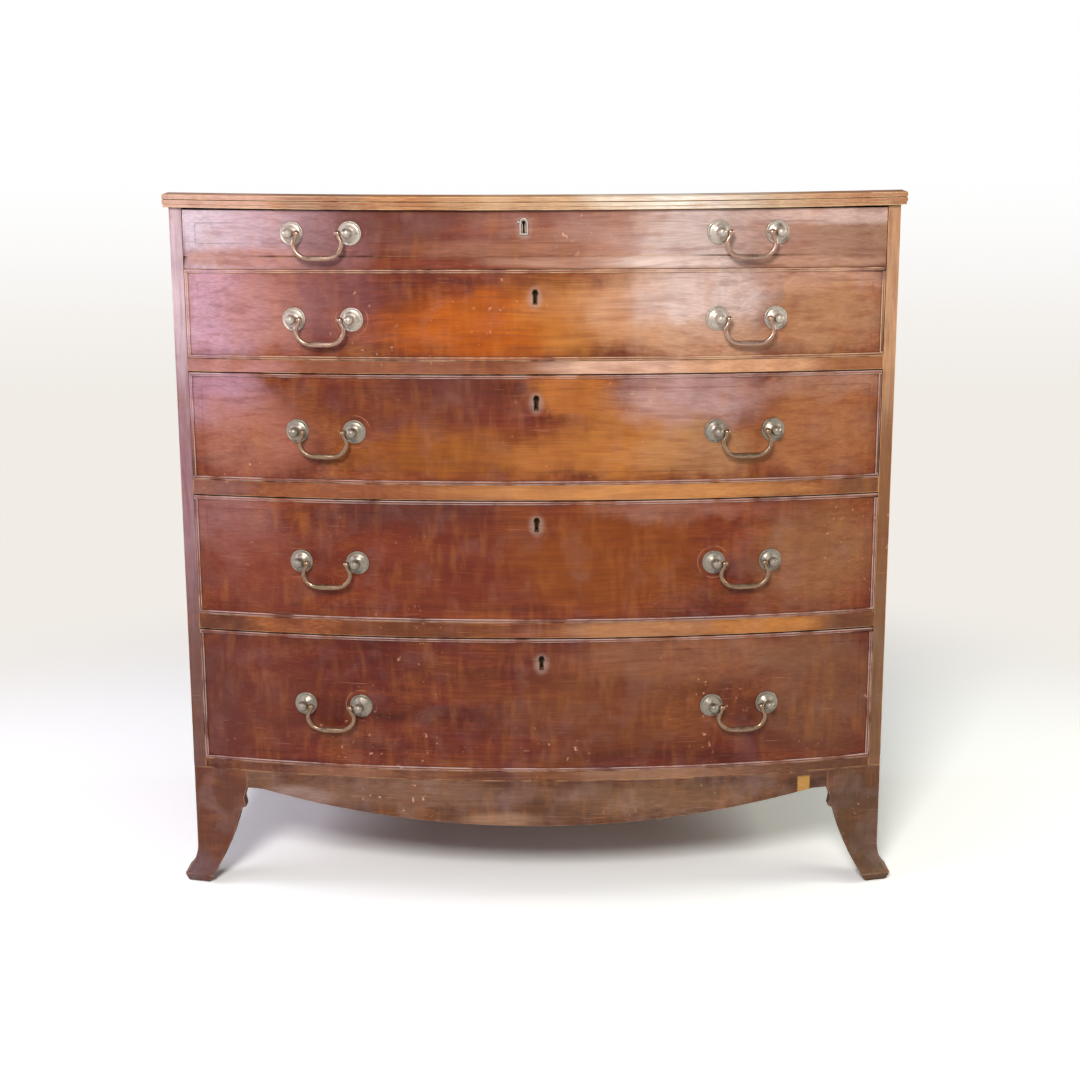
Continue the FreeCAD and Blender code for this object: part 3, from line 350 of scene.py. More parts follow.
@dataclass(frozen=True)
class MahoganyVeneer:
    """Mahogany veneer under old French polish.

    Sawn Cuban mahogany has a red-brown ground with slow lighter ribbons, fiddleback ripples that
    cross them, honey-coloured blotches and short dark pores. The shellac over it is rubbed
    through on the arrises, bloomed grey by damp and scratched by use. Painted shade darkens its
    corners and gaps.
    """

    name: str
    grain: Grain = Grain.ACROSS
    deep: str = "#471A10"
    ground: str = "#6A2A18"
    ribbon: str = "#8A4024"
    honey: str = "#AD6A2A"
    pore: str = "#260D08"
    shimmer: str = "#C07A3C"
    bloom: str = "#BBA2A2"
    chipped: str = "#D9A283"
    scratched: str = "#C28A70"
    # the colour of the painted shade in corners and gaps
    crevice_shade: str = "#1E0C07"
    bare: str = "#D6A06C"               # wood where the polish is rubbed through
    patches: tuple[Patch, ...] = ()
    stringing: Stringing | None = None
    rings: tuple[Ring, ...] = ()
    ripple: float = 0.18                # share of the fiddleback ripples
    amber: float = 0.2                  # share of the honey-coloured blotches
    haze: float = 0.07                  # share of the grey bloom
    wear: float = 0.8
    scuffs: float = 0.6
    # the share of that painted shade in corners and gaps
    dirt: float = 0.85
    roughness: float = 0.38
    shine: float = 0.17
    raggedness: float = 16.0            # narrower patches than this have smooth edges
    # for each set of scratches: its slant in radians, and how many zones it has in a metre
    scratches: tuple[tuple[float, float], ...] = ((0.2, 5.0), (-0.7, 6.5), (1.3, 8.0))

    def wood(self, recipe: Recipe, place: Any, bent: Any) -> tuple[Socket, Socket, Socket]:
        """Draw the wood.

        Args:
            recipe: the material.
            place: the coordinates.
            bent: the same, slowly bent.

        Returns:
            The outputs that give the wood's colour, its fine lines and its ripples.
        """
        # ribbons 15 to 30 mm across and some hundreds of millimetres long
        long = recipe.add("Mapping", None, {"Vector": bent, "Scale": self.grain.stretch(3, 42)})
        figure = recipe.add("TexNoise", None, {"Vector": long.outputs[0], "Scale": 1.0,
                                               "Detail": 4.0, "Roughness": 0.62})
        ramp = recipe.add("ValToRGB", {"stops": ((0.30, self.deep), (0.48, self.ground),
                                                 (0.70, self.ribbon))},
                          {0: figure.outputs[0]})
        # fiddleback ripples, 12 mm apart along the grain
        ripples = recipe.speckle(bent, self.grain.stretch(80, 17), 0.44, 0.66, 3.0, self.ripple)
        blotches = recipe.speckle(bent, 15, 0.50, 0.64, 5.0, self.amber)
        # straight fine grain, about 2 mm between lines
        lines = recipe.speckle(bent, self.grain.stretch(14, 480), 0.60, 0.44, top=0.25)
        # pores are 0.3 mm wide; drawn 0.8 mm wide so that they show at this size
        pores = recipe.speckle(place, self.grain.stretch(110, 1300), 0.62, 0.72, top=0.5)
        colour = recipe.coats(ramp.outputs[0], (self.ribbon, ripples), (self.honey, blotches),
                              (self.deep, lines), (self.pore, pores))
        return colour, lines, ripples

    def patched(self, recipe: Recipe, place: Any, mottle: bpy.types.Node,
                colour: Any) -> tuple[Socket, Socket]:
        """Lay the patches over the wood: faded, darkened and bloomed polish, and painted glare and
        painted shade.

        Args:
            recipe: the material.
            place: the coordinates.
            mottle: the noise that makes their edges ragged and their middles cloudy.
            colour: the wood's colour.

        Returns:
            The outputs that give the new colour and the ragged coordinates.
        """
        ragged = recipe.add("VectorMath", {"operation": "MULTIPLY_ADD"},
                            {0: mottle.outputs[1], 1: (0.05, 0.0, 0.05), 2: place})
        edge = recipe.add("VectorMath", {"operation": "SUBTRACT"},
                          {0: ragged.outputs[0], 1: (0.025, 0.0, 0.025)}).outputs[0]
        cloudy = recipe.add("MapRange", None, {"Value": mottle.outputs[0], "From Min": 0.3,
                                               "From Max": 0.62, "To Min": 0.72}).outputs[0]
        for patch in self.patches:
            narrow = min(patch.half_width, patch.half_height) < self.raggedness
            read = place if patch.square or narrow else edge
            colour = recipe.coats(colour, (patch.colour, patch.mask(recipe, read, cloudy)))
        return colour, edge

    def marked(self, recipe: Recipe, place: Any, colour: Any) -> Socket:
        """Draw the stringing, and the marks that use has left.

        Args:
            recipe: the material.
            place: the coordinates.
            colour: the polish's colour.

        Returns:
            The output that gives the new colour.
        """
        if self.stringing:
            colour = recipe.coats(colour, (self.stringing.colour,
                                           self.stringing.mask(recipe, place)))
        for ring in self.rings:
            colour = recipe.coats(colour, (ring.colour, ring.mask(recipe, place)))
        # chips of polish, 2 to 5 mm, and straight scratches a millimetre wide
        few = recipe.speckle(place, 7.0, 0.52, 0.68)
        chips = recipe.speckle(place, 130, 0.70, 0.77, 1.0, self.scuffs, within=few)
        colour = recipe.coats(colour, (self.chipped, chips))
        for turn, zone in self.scratches:
            slanted = recipe.add("Mapping", None, {"Vector": place, "Rotation": (0, turn, 0),
                                                   "Scale": (17, 60, 620)})
            here = recipe.speckle(place, zone, 0.5, 0.6, 1.0)
            scratch = recipe.speckle(slanted.outputs[0], 1.0, 0.72, 0.78, 1.0,
                                     0.5 * self.scuffs, within=here)
            colour = recipe.coats(colour, (self.scratched, scratch))
        return colour

    def mix(self) -> bpy.types.Material:
        """Mix the finish.

        Returns:
            The material.
        """
        recipe = Recipe(self.name)
        place = recipe.add("TexCoord").outputs["Object"]
        bent = recipe.swayed(place, 4.0, 1.0, 0.03)
        colour, lines, ripples = self.wood(recipe, place, bent)
        mottle = recipe.add("TexNoise", None, {"Vector": place, "Scale": 26.0, "Detail": 4.0,
                                               "Roughness": 0.56})
        colour, edge = self.patched(recipe, place, mottle, colour)
        # polish keeps the figure of the wood under it, so that is laid on again, faintly
        faint = recipe.add("Math", {"operation": "MULTIPLY"}, {0: lines, 1: 0.6}).outputs[0]
        streaks = recipe.speckle(bent, self.grain.stretch(9, 120), 0.50, 0.34, 3.0, 0.3)
        glow = recipe.speckle(bent, 22, 0.42, 0.6, 4.0, 0.8, within=ripples)
        # grey bloom in clouds of 10 to 40 mm
        haze = recipe.speckle(edge, 24, 0.50, 0.74, 6.0, self.haze)
        colour = recipe.coats(colour, (self.deep, faint), (self.ground, streaks),
                              (self.shimmer, glow), (self.bloom, haze))
        colour = self.marked(recipe, place, colour)
        # arrises rubbed to the bare wood, in runs
        arris = recipe.add("Attribute", {"attribute_name": "worn"}).outputs[2]
        rubbed = recipe.speckle(place, 30, 0.36, 0.55, 4.0, self.wear, within=arris)
        # painted shade darkens the corners and gaps, 2 to 3 mm deep, read from ambient occlusion
        near = recipe.add("AmbientOcclusion", {"samples": 6}, {"Distance": 3.5 * MM})
        dirt = recipe.add("MapRange", None, {"Value": near.outputs["AO"], "From Min": 0.82,
                                             "From Max": 0.4, "To Max": self.dirt})
        colour = recipe.coats(colour, (self.bare, rubbed), (self.crevice_shade, dirt.outputs[0]))
        rough = recipe.add("MapRange", None, {"Value": mottle.outputs[0], "From Min": 0.3,
                                              "From Max": 0.7, "To Min": self.roughness - 0.07,
                                              "To Max": self.roughness + 0.16})
        relief = recipe.add("Math", {"operation": "ADD"}, {0: lines, 1: mottle.outputs[0]})
        bump = recipe.add("Bump", None, {"Strength": 0.15, "Distance": 0.25 * MM,
                                         "Height": relief.outputs[0]})
        return recipe.close(Base_Color=colour, Roughness=rough.outputs[0],
                            Normal=bump.outputs[0], IOR=1.5, Specular_IOR_Level=self.shine,
                            Coat_Weight=0.05, Coat_Roughness=0.25)


@dataclass(frozen=True)
class BareWood:
    """Planed, unpolished softwood or oak inside the carcase and the drawers.

    Growth rings show as darker lines along the grain, and handling and dust have dulled it.
    """

    name: str
    grain: Grain
    early: str
    late: str
    dirt: str
    ring_pitch: float = 6.0
    ring_length: float = 30.0           # in pitches

    def mix(self) -> bpy.types.Material:
        """Mix the finish.

        Returns:
            The material.
        """
        recipe = Recipe(self.name)
        place = recipe.add("TexCoord").outputs["Object"]
        bent = recipe.swayed(place, 3.0, 2.0, 0.05)
        pitch = 1 / (self.ring_pitch * MM)
        stretch = self.grain.stretch(pitch / self.ring_length, pitch)
        local = recipe.add("Mapping", None, {"Vector": bent, "Scale": stretch})
        rings = recipe.add("TexNoise", None, {"Vector": local.outputs[0], "Scale": 1.0,
                                              "Detail": 3.0})
        ramp = recipe.add("ValToRGB", {"stops": ((0.36, self.late), (0.5, self.early),
                                                 (0.8, self.early))},
                          {0: rings.outputs[0]})
        dust = recipe.speckle(place, 9, 0.42, 0.72, 5.0, 0.4)
        colour = recipe.coats(ramp.outputs[0], (self.dirt, dust))
        bump = recipe.add("Bump", None, {"Strength": 0.3, "Distance": 0.3 * MM,
                                         "Height": rings.outputs[0]})
        return recipe.close(Base_Color=colour, Roughness=0.78, Normal=bump.outputs[0])


@dataclass(frozen=True)
class AgedBrass:
    """Cast and turned brass, unpolished for years: dull grey-green over yellow metal, with painted
    shade in its hollows.
    """

    name: str
    metal: str = "#CCC1B2"
    patina: str = "#B7ADA5"
    tarnish: str = "#5E4E3C"
    hollow_shade: str = "#2A2018"
    roughness: float = 0.44
    dull: float = 0.85
    spots: float = 0.5

    def mix(self) -> bpy.types.Material:
        """Mix the finish.

        Returns:
            The material.
        """
        recipe = Recipe(self.name)
        place = recipe.add("TexCoord").outputs["Object"]
        # patina in clouds of 5 to 10 mm, and painted shade in the hollows, read from ambient
        # occlusion
        clouds = recipe.speckle(place, 130, 0.38, 0.62, 5.0, self.dull)
        spots = recipe.speckle(place, 320, 0.54, 0.72, 4.0, self.spots)
        near = recipe.add("AmbientOcclusion", {"samples": 6}, {"Distance": 4 * MM})
        hollow_shade = recipe.add("MapRange", None, {"Value": near.outputs["AO"], "From Min": 0.75,
                                              "From Max": 0.3, "To Max": 0.9})
        colour = recipe.coats(linear(self.metal), (self.patina, clouds), (self.tarnish, spots),
                              (self.hollow_shade, hollow_shade.outputs[0]))
        rough = recipe.add("MapRange", None, {"Value": clouds, "To Min": self.roughness - 0.08,
                                              "To Max": self.roughness + 0.14})
        pits = recipe.add("TexNoise", None, {"Vector": place, "Scale": 900.0, "Detail": 2.0})
        bump = recipe.add("Bump", None, {"Strength": 0.2, "Distance": 0.1 * MM,
                                         "Height": pits.outputs[0]})
        # the grey patina is an oxide, so it has lost most of the metal's mirror
        bright = recipe.add("MapRange", None, {"Value": clouds, "To Min": 1.0, "To Max": 0.3})
        return recipe.close(Base_Color=colour, Metallic=bright.outputs[0],
                            Roughness=rough.outputs[0], Normal=bump.outputs[0])


@dataclass(frozen=True)
class OldIron:
    """Filed wrought iron, brown with old rust where it isn't rubbed by its slot."""

    name: str
    filed: str = "#6B6864"
    rusty: str = "#4A2F22"

    def mix(self) -> bpy.types.Material:
        """Mix the finish.

        Returns:
            The material.
        """
        recipe = Recipe(self.name)
        place = recipe.add("TexCoord").outputs["Object"]
        rust = recipe.speckle(place, 180, 0.45, 0.6, 5.0, 0.8)
        colour = recipe.coats(linear(self.filed), (self.rusty, rust))
        rough = recipe.add("MapRange", None, {"Value": rust, "To Min": 0.35, "To Max": 0.8})
        return recipe.close(Base_Color=colour, Metallic=0.8, Roughness=rough.outputs[0])


# ------------------------------------------------------------------ shapes

@dataclass(frozen=True)
class Bow:
    """The arc that the drawers' faces lie on, seen from above."""

    radius: float = 1878.314
    centre: float = 1620.314        # the arc's centre, behind the front
    tolerance: float = 2.2

    def on_face(self, point: Vector) -> bool:
        """Tell whether a point lies on the drawers' faces, within the tolerance.

        Args:
            point: the point, in metres.

        Returns:
            True where it does.
        """
        reach = math.hypot(point.x, point.y - self.centre * MM)
        return abs(reach - self.radius * MM) < self.tolerance * MM

    def place(self, angle: float, height: float, reach: float = 0.0) -> Matrix:
        """Give the frame of a fitting on the bowed face.

        Args:
            angle: where it stands on the arc, to the right of the middle, in radians.
            height: its height above the floor.
            reach: how far it stands out of the face.

        Returns:
            A matrix in metres: x to the right along the face, y up, z straight out of it.
        """
        out = Vector((math.sin(angle), -math.cos(angle), 0))
        right = Vector((math.cos(angle), math.sin(angle), 0))
        where = out * (self.radius + reach) + Vector((0, self.centre, height))
        turn = Matrix((right, (0, 0, 1), out)).transposed().to_4x4()
        return Matrix.Translation(where * MM) @ turn @ Matrix.Scale(MM, 4)


BOW = Bow()


def merge(target: bmesh.types.BMesh, part: bmesh.types.BMesh, place: Matrix) -> None:
    """Put a copy of one mesh into another.

    Args:
        target: the mesh that grows.
        part: the mesh that is copied.
        place: where the copy goes.
    """
    held = bpy.data.meshes.new("held")
    part.to_mesh(held)
    held.transform(place)
    target.from_mesh(held)
    bpy.data.meshes.remove(held)


def turned(profile: Profile, steps: int = 32) -> bmesh.types.BMesh:
    """Turn a profile on the z axis, as on a lathe.

    Args:
        profile: radius and height of each point, from one end on the axis to the other.
        steps: how many facets go round.

    Returns:
        The closed mesh, in millimetres.
    """
    shape = bmesh.new()
    points = [shape.verts.new((radius, 0, height)) for radius, height in profile]
    edges = [shape.edges.new(pair) for pair in zip(points, points[1:])]
    bmesh.ops.spin(shape, geom=points + edges, cent=(0, 0, 0), axis=(0, 0, 1),
                   angle=math.tau, steps=steps, use_merge=True)
    bmesh.ops.remove_doubles(shape, verts=shape.verts, dist=0.001)
    bmesh.ops.recalc_face_normals(shape, faces=shape.faces)
    return shape


def rounded_rod(length: float, radius: float, start: float, steps: int = 20) -> bmesh.types.BMesh:
    """Turn a rod with eased ends on the z axis.

    Args:
        length: its length.
        radius: its radius.
        start: the height of its lower end.
        steps: how many facets go round.

    Returns:
        The closed mesh, in millimetres.
    """
    ease = min(0.4, radius / 3)
    return turned(((0, start), (radius - ease, start), (radius, start + ease),
                   (radius, start + length - ease), (radius - ease, start + length),
                   (0, start + length)), steps)


def swept(points: Sequence[Triple], radii: Sequence[float],
          sides: int = 5) -> bmesh.types.BMesh:
    """Draw a smooth rod of changing thickness through a run of points.

    Args:
        points: control points of the line, in millimetres.
        radii: the rod's radius at each of them.
        sides: rings on a quarter of its round.

    Returns:
        The closed mesh, in millimetres.
    """
    curve = bpy.data.curves.new("line", "CURVE")
    curve.dimensions = "3D"
    curve.bevel_depth = 1.0
    curve.bevel_resolution = sides
    curve.use_fill_caps = True
    curve.resolution_u = 5
    spline = curve.splines.new("NURBS")
    spline.points.add(len(points) - 1)
    for point, where, radius in zip(spline.points, points, radii):
        point.co = (*where, 1.0)
        point.radius = radius
    spline.order_u = 4
    spline.use_endpoint_u = True
    holder = bpy.data.objects.new("line", curve)
    bpy.context.scene.collection.objects.link(holder)
    bpy.context.view_layer.update()
    drawn = bpy.data.meshes.new_from_object(
        holder.evaluated_get(bpy.context.evaluated_depsgraph_get()))
    shape = bmesh.new()
    shape.from_mesh(drawn)
    bmesh.ops.remove_doubles(shape, verts=shape.verts, dist=0.001)
    bmesh.ops.recalc_face_normals(shape, faces=shape.faces)
    bpy.data.objects.remove(holder)
    bpy.data.curves.remove(curve)
    bpy.data.meshes.remove(drawn)
    return shape


def ease(shape: bmesh.types.BMesh, edges: Sequence[bmesh.types.BMEdge], width: float,
         segments: int = 2, clamp: bool = True) -> Sequence[bmesh.types.BMFace]:
    """Round edges over.

    Args:
        shape: the mesh.
        edges: its edges that are rounded.
        width: how far the rounding reaches from each edge, in the mesh's unit.
        segments: the facets across the rounding.
        clamp: hold the rounding back where edges lie close.

    Returns:
        The new faces.
    """
    eased = bmesh.ops.bevel(shape, geom=edges, affect="EDGES", offset=width,
                            offset_type="OFFSET", segments=segments, profile=0.5, material=-1,
                            clamp_overlap=clamp)
    return eased["faces"]


def cuts(step: int) -> tuple[float, ...]:
    """Give even places across the chest's width, where a board is cut so that it can bend."""
    return tuple(float(x) for x in range(-480, 481, step))


def show(shape: bmesh.types.BMesh, name: str, body: str,
         material: bpy.types.Material, replaces: Iterable[str] = (),
         crease: float = 50.0) -> bpy.types.Object:
    """Make a finished mesh a piece of the object.

    Args:
        shape: the mesh, in metres and in place.
        name: the piece's name.
        body: the body that it rides on.
        material: its finish.
        replaces: the plain nodes that it stands for.
        crease: the angle in degrees past which an edge stays sharp.

    Returns:
        The new object.
    """
    for face in shape.faces:
        face.smooth = True
    for edge in shape.edges:
        bent = len(edge.link_faces) == 2 and edge.calc_face_angle(0) > math.radians(crease)
        edge.smooth = not bent
    mesh = bpy.data.meshes.new(name)
    shape.to_mesh(mesh)
    shape.free()
    mesh.materials.append(material)
    piece = bpy.data.objects.new(name, mesh)
    bpy.context.scene.collection.objects.link(piece)
    even = piece.modifiers.new("even normals", "WEIGHTED_NORMAL")
    even.keep_sharp = True
    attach(piece, body)
    if replaces:
        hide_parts(*replaces)
    log.info("%s: %d faces on %s", name, len(mesh.polygons), body)
    return piece


@dataclass
class EasedBoard:
    """A packed board with its arrises eased by hand and by wear."""

    node: str
    body: str
    material: bpy.types.Material
    ease: float = 0.7
    segments: int = 2
    seams: tuple[float, ...] = ()       # glued joints inside the board, across the x axis
    slices: tuple[float, ...] = ()      # where it is cut across so that it can bend
    bend: Callable[[Vector], Vector] | None = None
    slot: str = "mahogany"
    clamp: bool = True                  # hold the easing back where arrises lie close
    chosen: Callable[[Vector], bool] | None = None      # which arrises are eased, by a point
    keep: Callable[[Vector], bool] | None = None        # which faces stay, by their middle
    reshape: Callable[[Vector], Vector] | None = None   # moves points before the edges are eased
    weld: float = 0.01                  # points as near as this are one
    joint: float = 0.1                  # a face as near as this to a seam lies in it
    square: float = 0.999               # the least x of the unit normal of a face across x
    flat: float = 0.4                   # degrees under which two faces are one
    sharp: float = 25.0                 # degrees past which an edge is an arris

    def goes(self, face: bmesh.types.BMFace) -> bool:
        """Tell whether a face isn't wanted, or is shut in a glued joint.

        Args:
            face: the face.

        Returns:
            True where it goes.
        """
        middle = face.calc_center_median()
        if self.keep and not self.keep(middle):
            return True
        return abs(face.normal.x) > self.square and any(
            abs(middle.x - seam * MM) < self.joint * MM for seam in self.seams)

    def is_arris(self, edge: bmesh.types.BMEdge) -> bool:
        """Tell whether an edge is an outer arris that is eased.

        Args:
            edge: the edge.

        Returns:
            True where it is.
        """
        return (len(edge.link_faces) == 2
                and edge.calc_face_angle_signed(0) > math.radians(self.sharp)
                and (self.chosen is None or all(self.chosen(vert.co) for vert in edge.verts)))

    def build(self) -> bpy.types.Object:
        """Merge the node's mesh, cut, ease and bend it.

        Returns:
            The piece that stands for the node.
        """
        shape = bmesh.new()
        shape.from_mesh(frame["nodes"][self.node].data)
        worn = shape.loops.layers.float.new("worn")
        bmesh.ops.remove_doubles(shape, verts=shape.verts, dist=self.weld * MM)
        gone = [face for face in shape.faces if self.goes(face)]
        if gone:
            bmesh.ops.delete(shape, geom=gone, context="FACES")
        bmesh.ops.dissolve_limit(shape, angle_limit=math.radians(self.flat), verts=shape.verts,
                                 edges=shape.edges)
        if self.reshape:
            for vert in shape.verts:
                vert.co = self.reshape(vert.co)
        for slice_x in self.slices:
            bmesh.ops.bisect_plane(shape, geom=shape.verts[:] + shape.edges[:] + shape.faces[:],
                                   plane_co=(slice_x * MM, 0, 0), plane_no=(1, 0, 0))
        arrises = [edge for edge in shape.edges if self.is_arris(edge)]
        for face in ease(shape, arrises, self.ease * MM, self.segments, self.clamp):
            for corner in face.loops:
                corner[worn] = 1.0
        if self.bend:
            for vert in shape.verts:
                vert.co = self.bend(vert.co)
        return show(shape, self.node + "_worn", self.body, self.material,
                    (self.node,))


# ------------------------------------------------------------------ sub-assemblies

@dataclass
class Top:
    """The top board, sagged in the middle over two centuries, and the strip under its edge."""

    half_width: float = 515.5
    sag: float = 6.0
    sag_start: float = 100.0        # behind this y the board is level
    sag_run: float = 300.0          # the depth over which the sag grows
    mortise: Triple = (-14.0, -240.0, 996.7)        # the middle of its roof, over the lock
    roof: Triple = (13.0, 13.0, 1.0)                # half the size of a box round that roof
    level: float = 0.99             # the least z of the unit normal of the board's top
    # the pale lilac and near-white patches are painted glare of the windows on the polished edge;
    # the others are faded polish
    patches: tuple[Patch, ...] = (
        Patch(-440, 1000, 110, 30, "#DCB5A4", 0.8),
        Patch(-140, 1000, 90, 30, "#CC9E70", 0.6),
        Patch(-285, 1000, 60, 30, "#9A7A66", 0.7),
        Patch(20, 1000, 110, 30, "#D8B48C", 0.8),
        Patch(150, 1000, 80, 30, "#F2E6D2", 0.9),
        Patch(235, 1000, 70, 30, "#F2EADE", 0.9),
        Patch(320, 1000, 60, 30, "#D6BEA4", 0.8),
        Patch(430, 1000, 90, 30, "#C89C7A", 0.7),
    )

    def droop(self, point: Vector) -> Vector:
        """Lower a point of the top by the sag: most at the middle of the front edge.

        Args:
            point: the point, in metres.

        Returns:
            The lowered point. The mortise's roof stays, so that the lock's bolt has room.
        """
        off = (point - Vector(self.mortise) * MM) / MM
        if all(abs(part) < half for part, half in zip(off, self.roof)):
            return point
        across = max(0.0, 1 - (point.x / (self.half_width * MM)) ** 2)
        forward = min(1.0, max(0.0, (self.sag_start - point.y / MM) / self.sag_run))
        return Vector((point.x, point.y, point.z - self.sag * MM * across * forward))

    def build(self) -> None:
        """Make the board and the strip."""
        edge = MahoganyVeneer("mahogany_top_edge", ground="#9A5430", ribbon="#C07A45",
                              deep="#5E2A18", bare="#EBC795", wear=1.0, patches=self.patches,
                              roughness=0.42)
        strip = replace(edge, name="mahogany_edge_strip", ground="#A8683C", ribbon="#D39A5F",
                        deep="#6B3520", bare="#F2D6A8", roughness=0.45)
        flat = MahoganyVeneer("mahogany_top", ground="#7C4028", ribbon="#9A5834", haze=0.12,
                              scuffs=0.8)
        board = EasedBoard("top_board", "carcase", edge.mix(), 0.9, slices=cuts(40),
                           bend=self.droop).build()
        board.data.materials.append(flat.mix())
        for face in board.data.polygons:
            face.material_index = int(abs(face.normal.z) > self.level)
        EasedBoard("top_edge_strip", "carcase", strip.mix(), 0.8, slices=cuts(40),
                   bend=self.droop).build()


@dataclass
class Carcase:
    """The sides, the rails between the drawers, the bottom and what is behind them."""

    # painted glare of the left window at the top of the left side's front edge
    bloom: str = "#CDB4BC"
    side_front: float = -190.0

    def stile_patches(self) -> tuple[Patch, ...]:
        """Describe the sides' front edges: painted glare near their tops and painted shade lower
        down, where less light falls.

        Returns:
            The patches.
        """
        front = {"y": self.side_front, "half_depth": 14.0, "soft": 0.5}
        return (
            Patch(-499, 870, 20, 180, self.bloom, 1.0, **front),
            Patch(-499, 570, 20, 210, "#987880", 0.85, **front),
            Patch(-499, 280, 20, 180, "#68504A", 0.85, **front),
            Patch(499, 850, 20, 210, "#C49672", 1.0, **front),
            Patch(499, 520, 20, 200, "#855D3C", 0.9, **front),
            Patch(499, 250, 20, 170, "#785C42", 0.85, **front),
        )

    def rail_patches(self) -> tuple[Patch, ...]:
        """Describe the rubbed and faded lengths of the rails' front edges, with painted glare in
        the pale ones and painted shade in the dark ones on the lower rails.

        Returns:
            The patches.
        """
        return (
            Patch(-430, 769, 90, 14, "#BC8682", 0.8),
            Patch(-200, 769, 130, 14, "#925C44", 0.7),
            Patch(130, 769, 120, 14, "#DAB098", 0.95),
            Patch(310, 769, 100, 14, "#DCA880", 0.85),
            Patch(450, 769, 60, 14, "#A06C48", 0.8),
            Patch(-460, 596, 60, 14, "#7A5350", 0.8),
            Patch(-290, 596, 110, 14, "#8E5436", 0.7),
            Patch(130, 596, 260, 14, "#CA8C52", 0.85),
            Patch(460, 596, 50, 14, "#744A30", 0.8),
            Patch(-460, 398, 50, 14, "#4A2C24", 0.8),
            Patch(-170, 398, 120, 14, "#5C3018", 0.85),
            Patch(150, 398, 110, 14, "#B48258", 0.8),
            Patch(330, 398, 90, 14, "#C07E3C", 0.85),
            Patch(460, 398, 50, 14, "#603E2A", 0.8),
        )

    def build(self) -> None:
        """Dress the carcase."""
        sides = MahoganyVeneer("mahogany_carcase_side", grain=Grain.UP,
                               patches=self.stile_patches(), wear=0.9, ripple=0.08).mix()
        for node in ("side_left", "side_right"):
            EasedBoard(node, "carcase", sides, 0.9).build()
        rails = MahoganyVeneer("mahogany_rail_edge", ground="#80442A", ribbon="#A0623A",
                               patches=self.rail_patches(), wear=1.0, bare="#E3B583").mix()
        EasedBoard("drawer_rails", "carcase", rails, 0.7, clamp=False,
                   chosen=BOW.on_face).build()
        bottom = MahoganyVeneer("mahogany_bottom_edge", ground="#62392A", ribbon="#7C513A",
                                wear=0.9, patches=(
                                    Patch(-280, 183, 60, 14, "#94664F", 0.7),
                                    Patch(180, 183, 120, 14, "#A2795C", 0.7),
                                    Patch(410, 183, 80, 14, "#5A3E2E", 0.6))).mix()
        EasedBoard("bottom_board", "carcase", bottom, 0.9, slot="pine").build()
        pine = BareWood("pine_aged", Grain.BACK, "#B88C60", "#9A6E46", "#74543A").mix()
        planks = BareWood("pine_back_planks", Grain.UP, "#BC8C68", "#A07150", "#78563F",
                          8.0).mix()
        for node in ("drawer_runners", "dust_boards", "drawer_stops", "foot_blocks"):
            dress(node, pine)
        dress("back_boards", planks)


def dress(node: str, material: bpy.types.Material) -> None:
    """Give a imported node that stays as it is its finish.

    Args:
        node: its name.
        material: the finish.
    """
    for slot in frame["nodes"][node].material_slots:
        slot.material = material
    log.info("%s: %s", node, material.name)


@dataclass
class Base:
    """The bow-fronted apron and the splayed bracket feet under the carcase."""

    apron: MahoganyVeneer = MahoganyVeneer(
        "mahogany_apron", ground="#603B2A", ribbon="#755642", deep="#44291D", bare="#B58F70",
        roughness=0.46, scuffs=0.7, amber=0.2, haze=0.15, wear=0.4, patches=(
            Patch(391, 156, 9, 12, "#C4944F", 0.9, 0.12, True),
            Patch(-53, 116, 55, 10, "#A98468", 0.7),
            Patch(-350, 142, 50, 14, "#A68E88", 0.7),
            Patch(-200, 150, 160, 22, "#8E6A58", 0.5),
            Patch(180, 150, 160, 22, "#8C6A50", 0.5)))
    feet_front: float = -225.0

    def feet_patches(self) -> tuple[Patch, ...]:
        """Describe the front feet's faded faces and scuffed toes.

        Returns:
            The patches.
        """
        front = {"y": self.feet_front, "half_depth": 60.0}
        return (
            Patch(-470, 90, 90, 110, "#633C2E", 0.9, **front),
            Patch(470, 90, 90, 110, "#56422F", 0.9, **front),
            Patch(-515, 25, 40, 24, "#6A5456", 0.8, **front),
            Patch(515, 25, 40, 24, "#655A4A", 0.7, **front),
        )

    def build(self) -> None:
        """Dress the apron, the feet and the skirts."""
        EasedBoard("apron", "carcase", self.apron.mix(), 1.0).build()
        feet = replace(self.apron, name="mahogany_feet", grain=Grain.UP, ground="#64301F",
                       ribbon="#7C442C", patches=self.feet_patches()).mix()
        for node in ("front_feet", "rear_feet", "side_skirts"):
            EasedBoard(node, "carcase", feet, 1.6, 3).build()


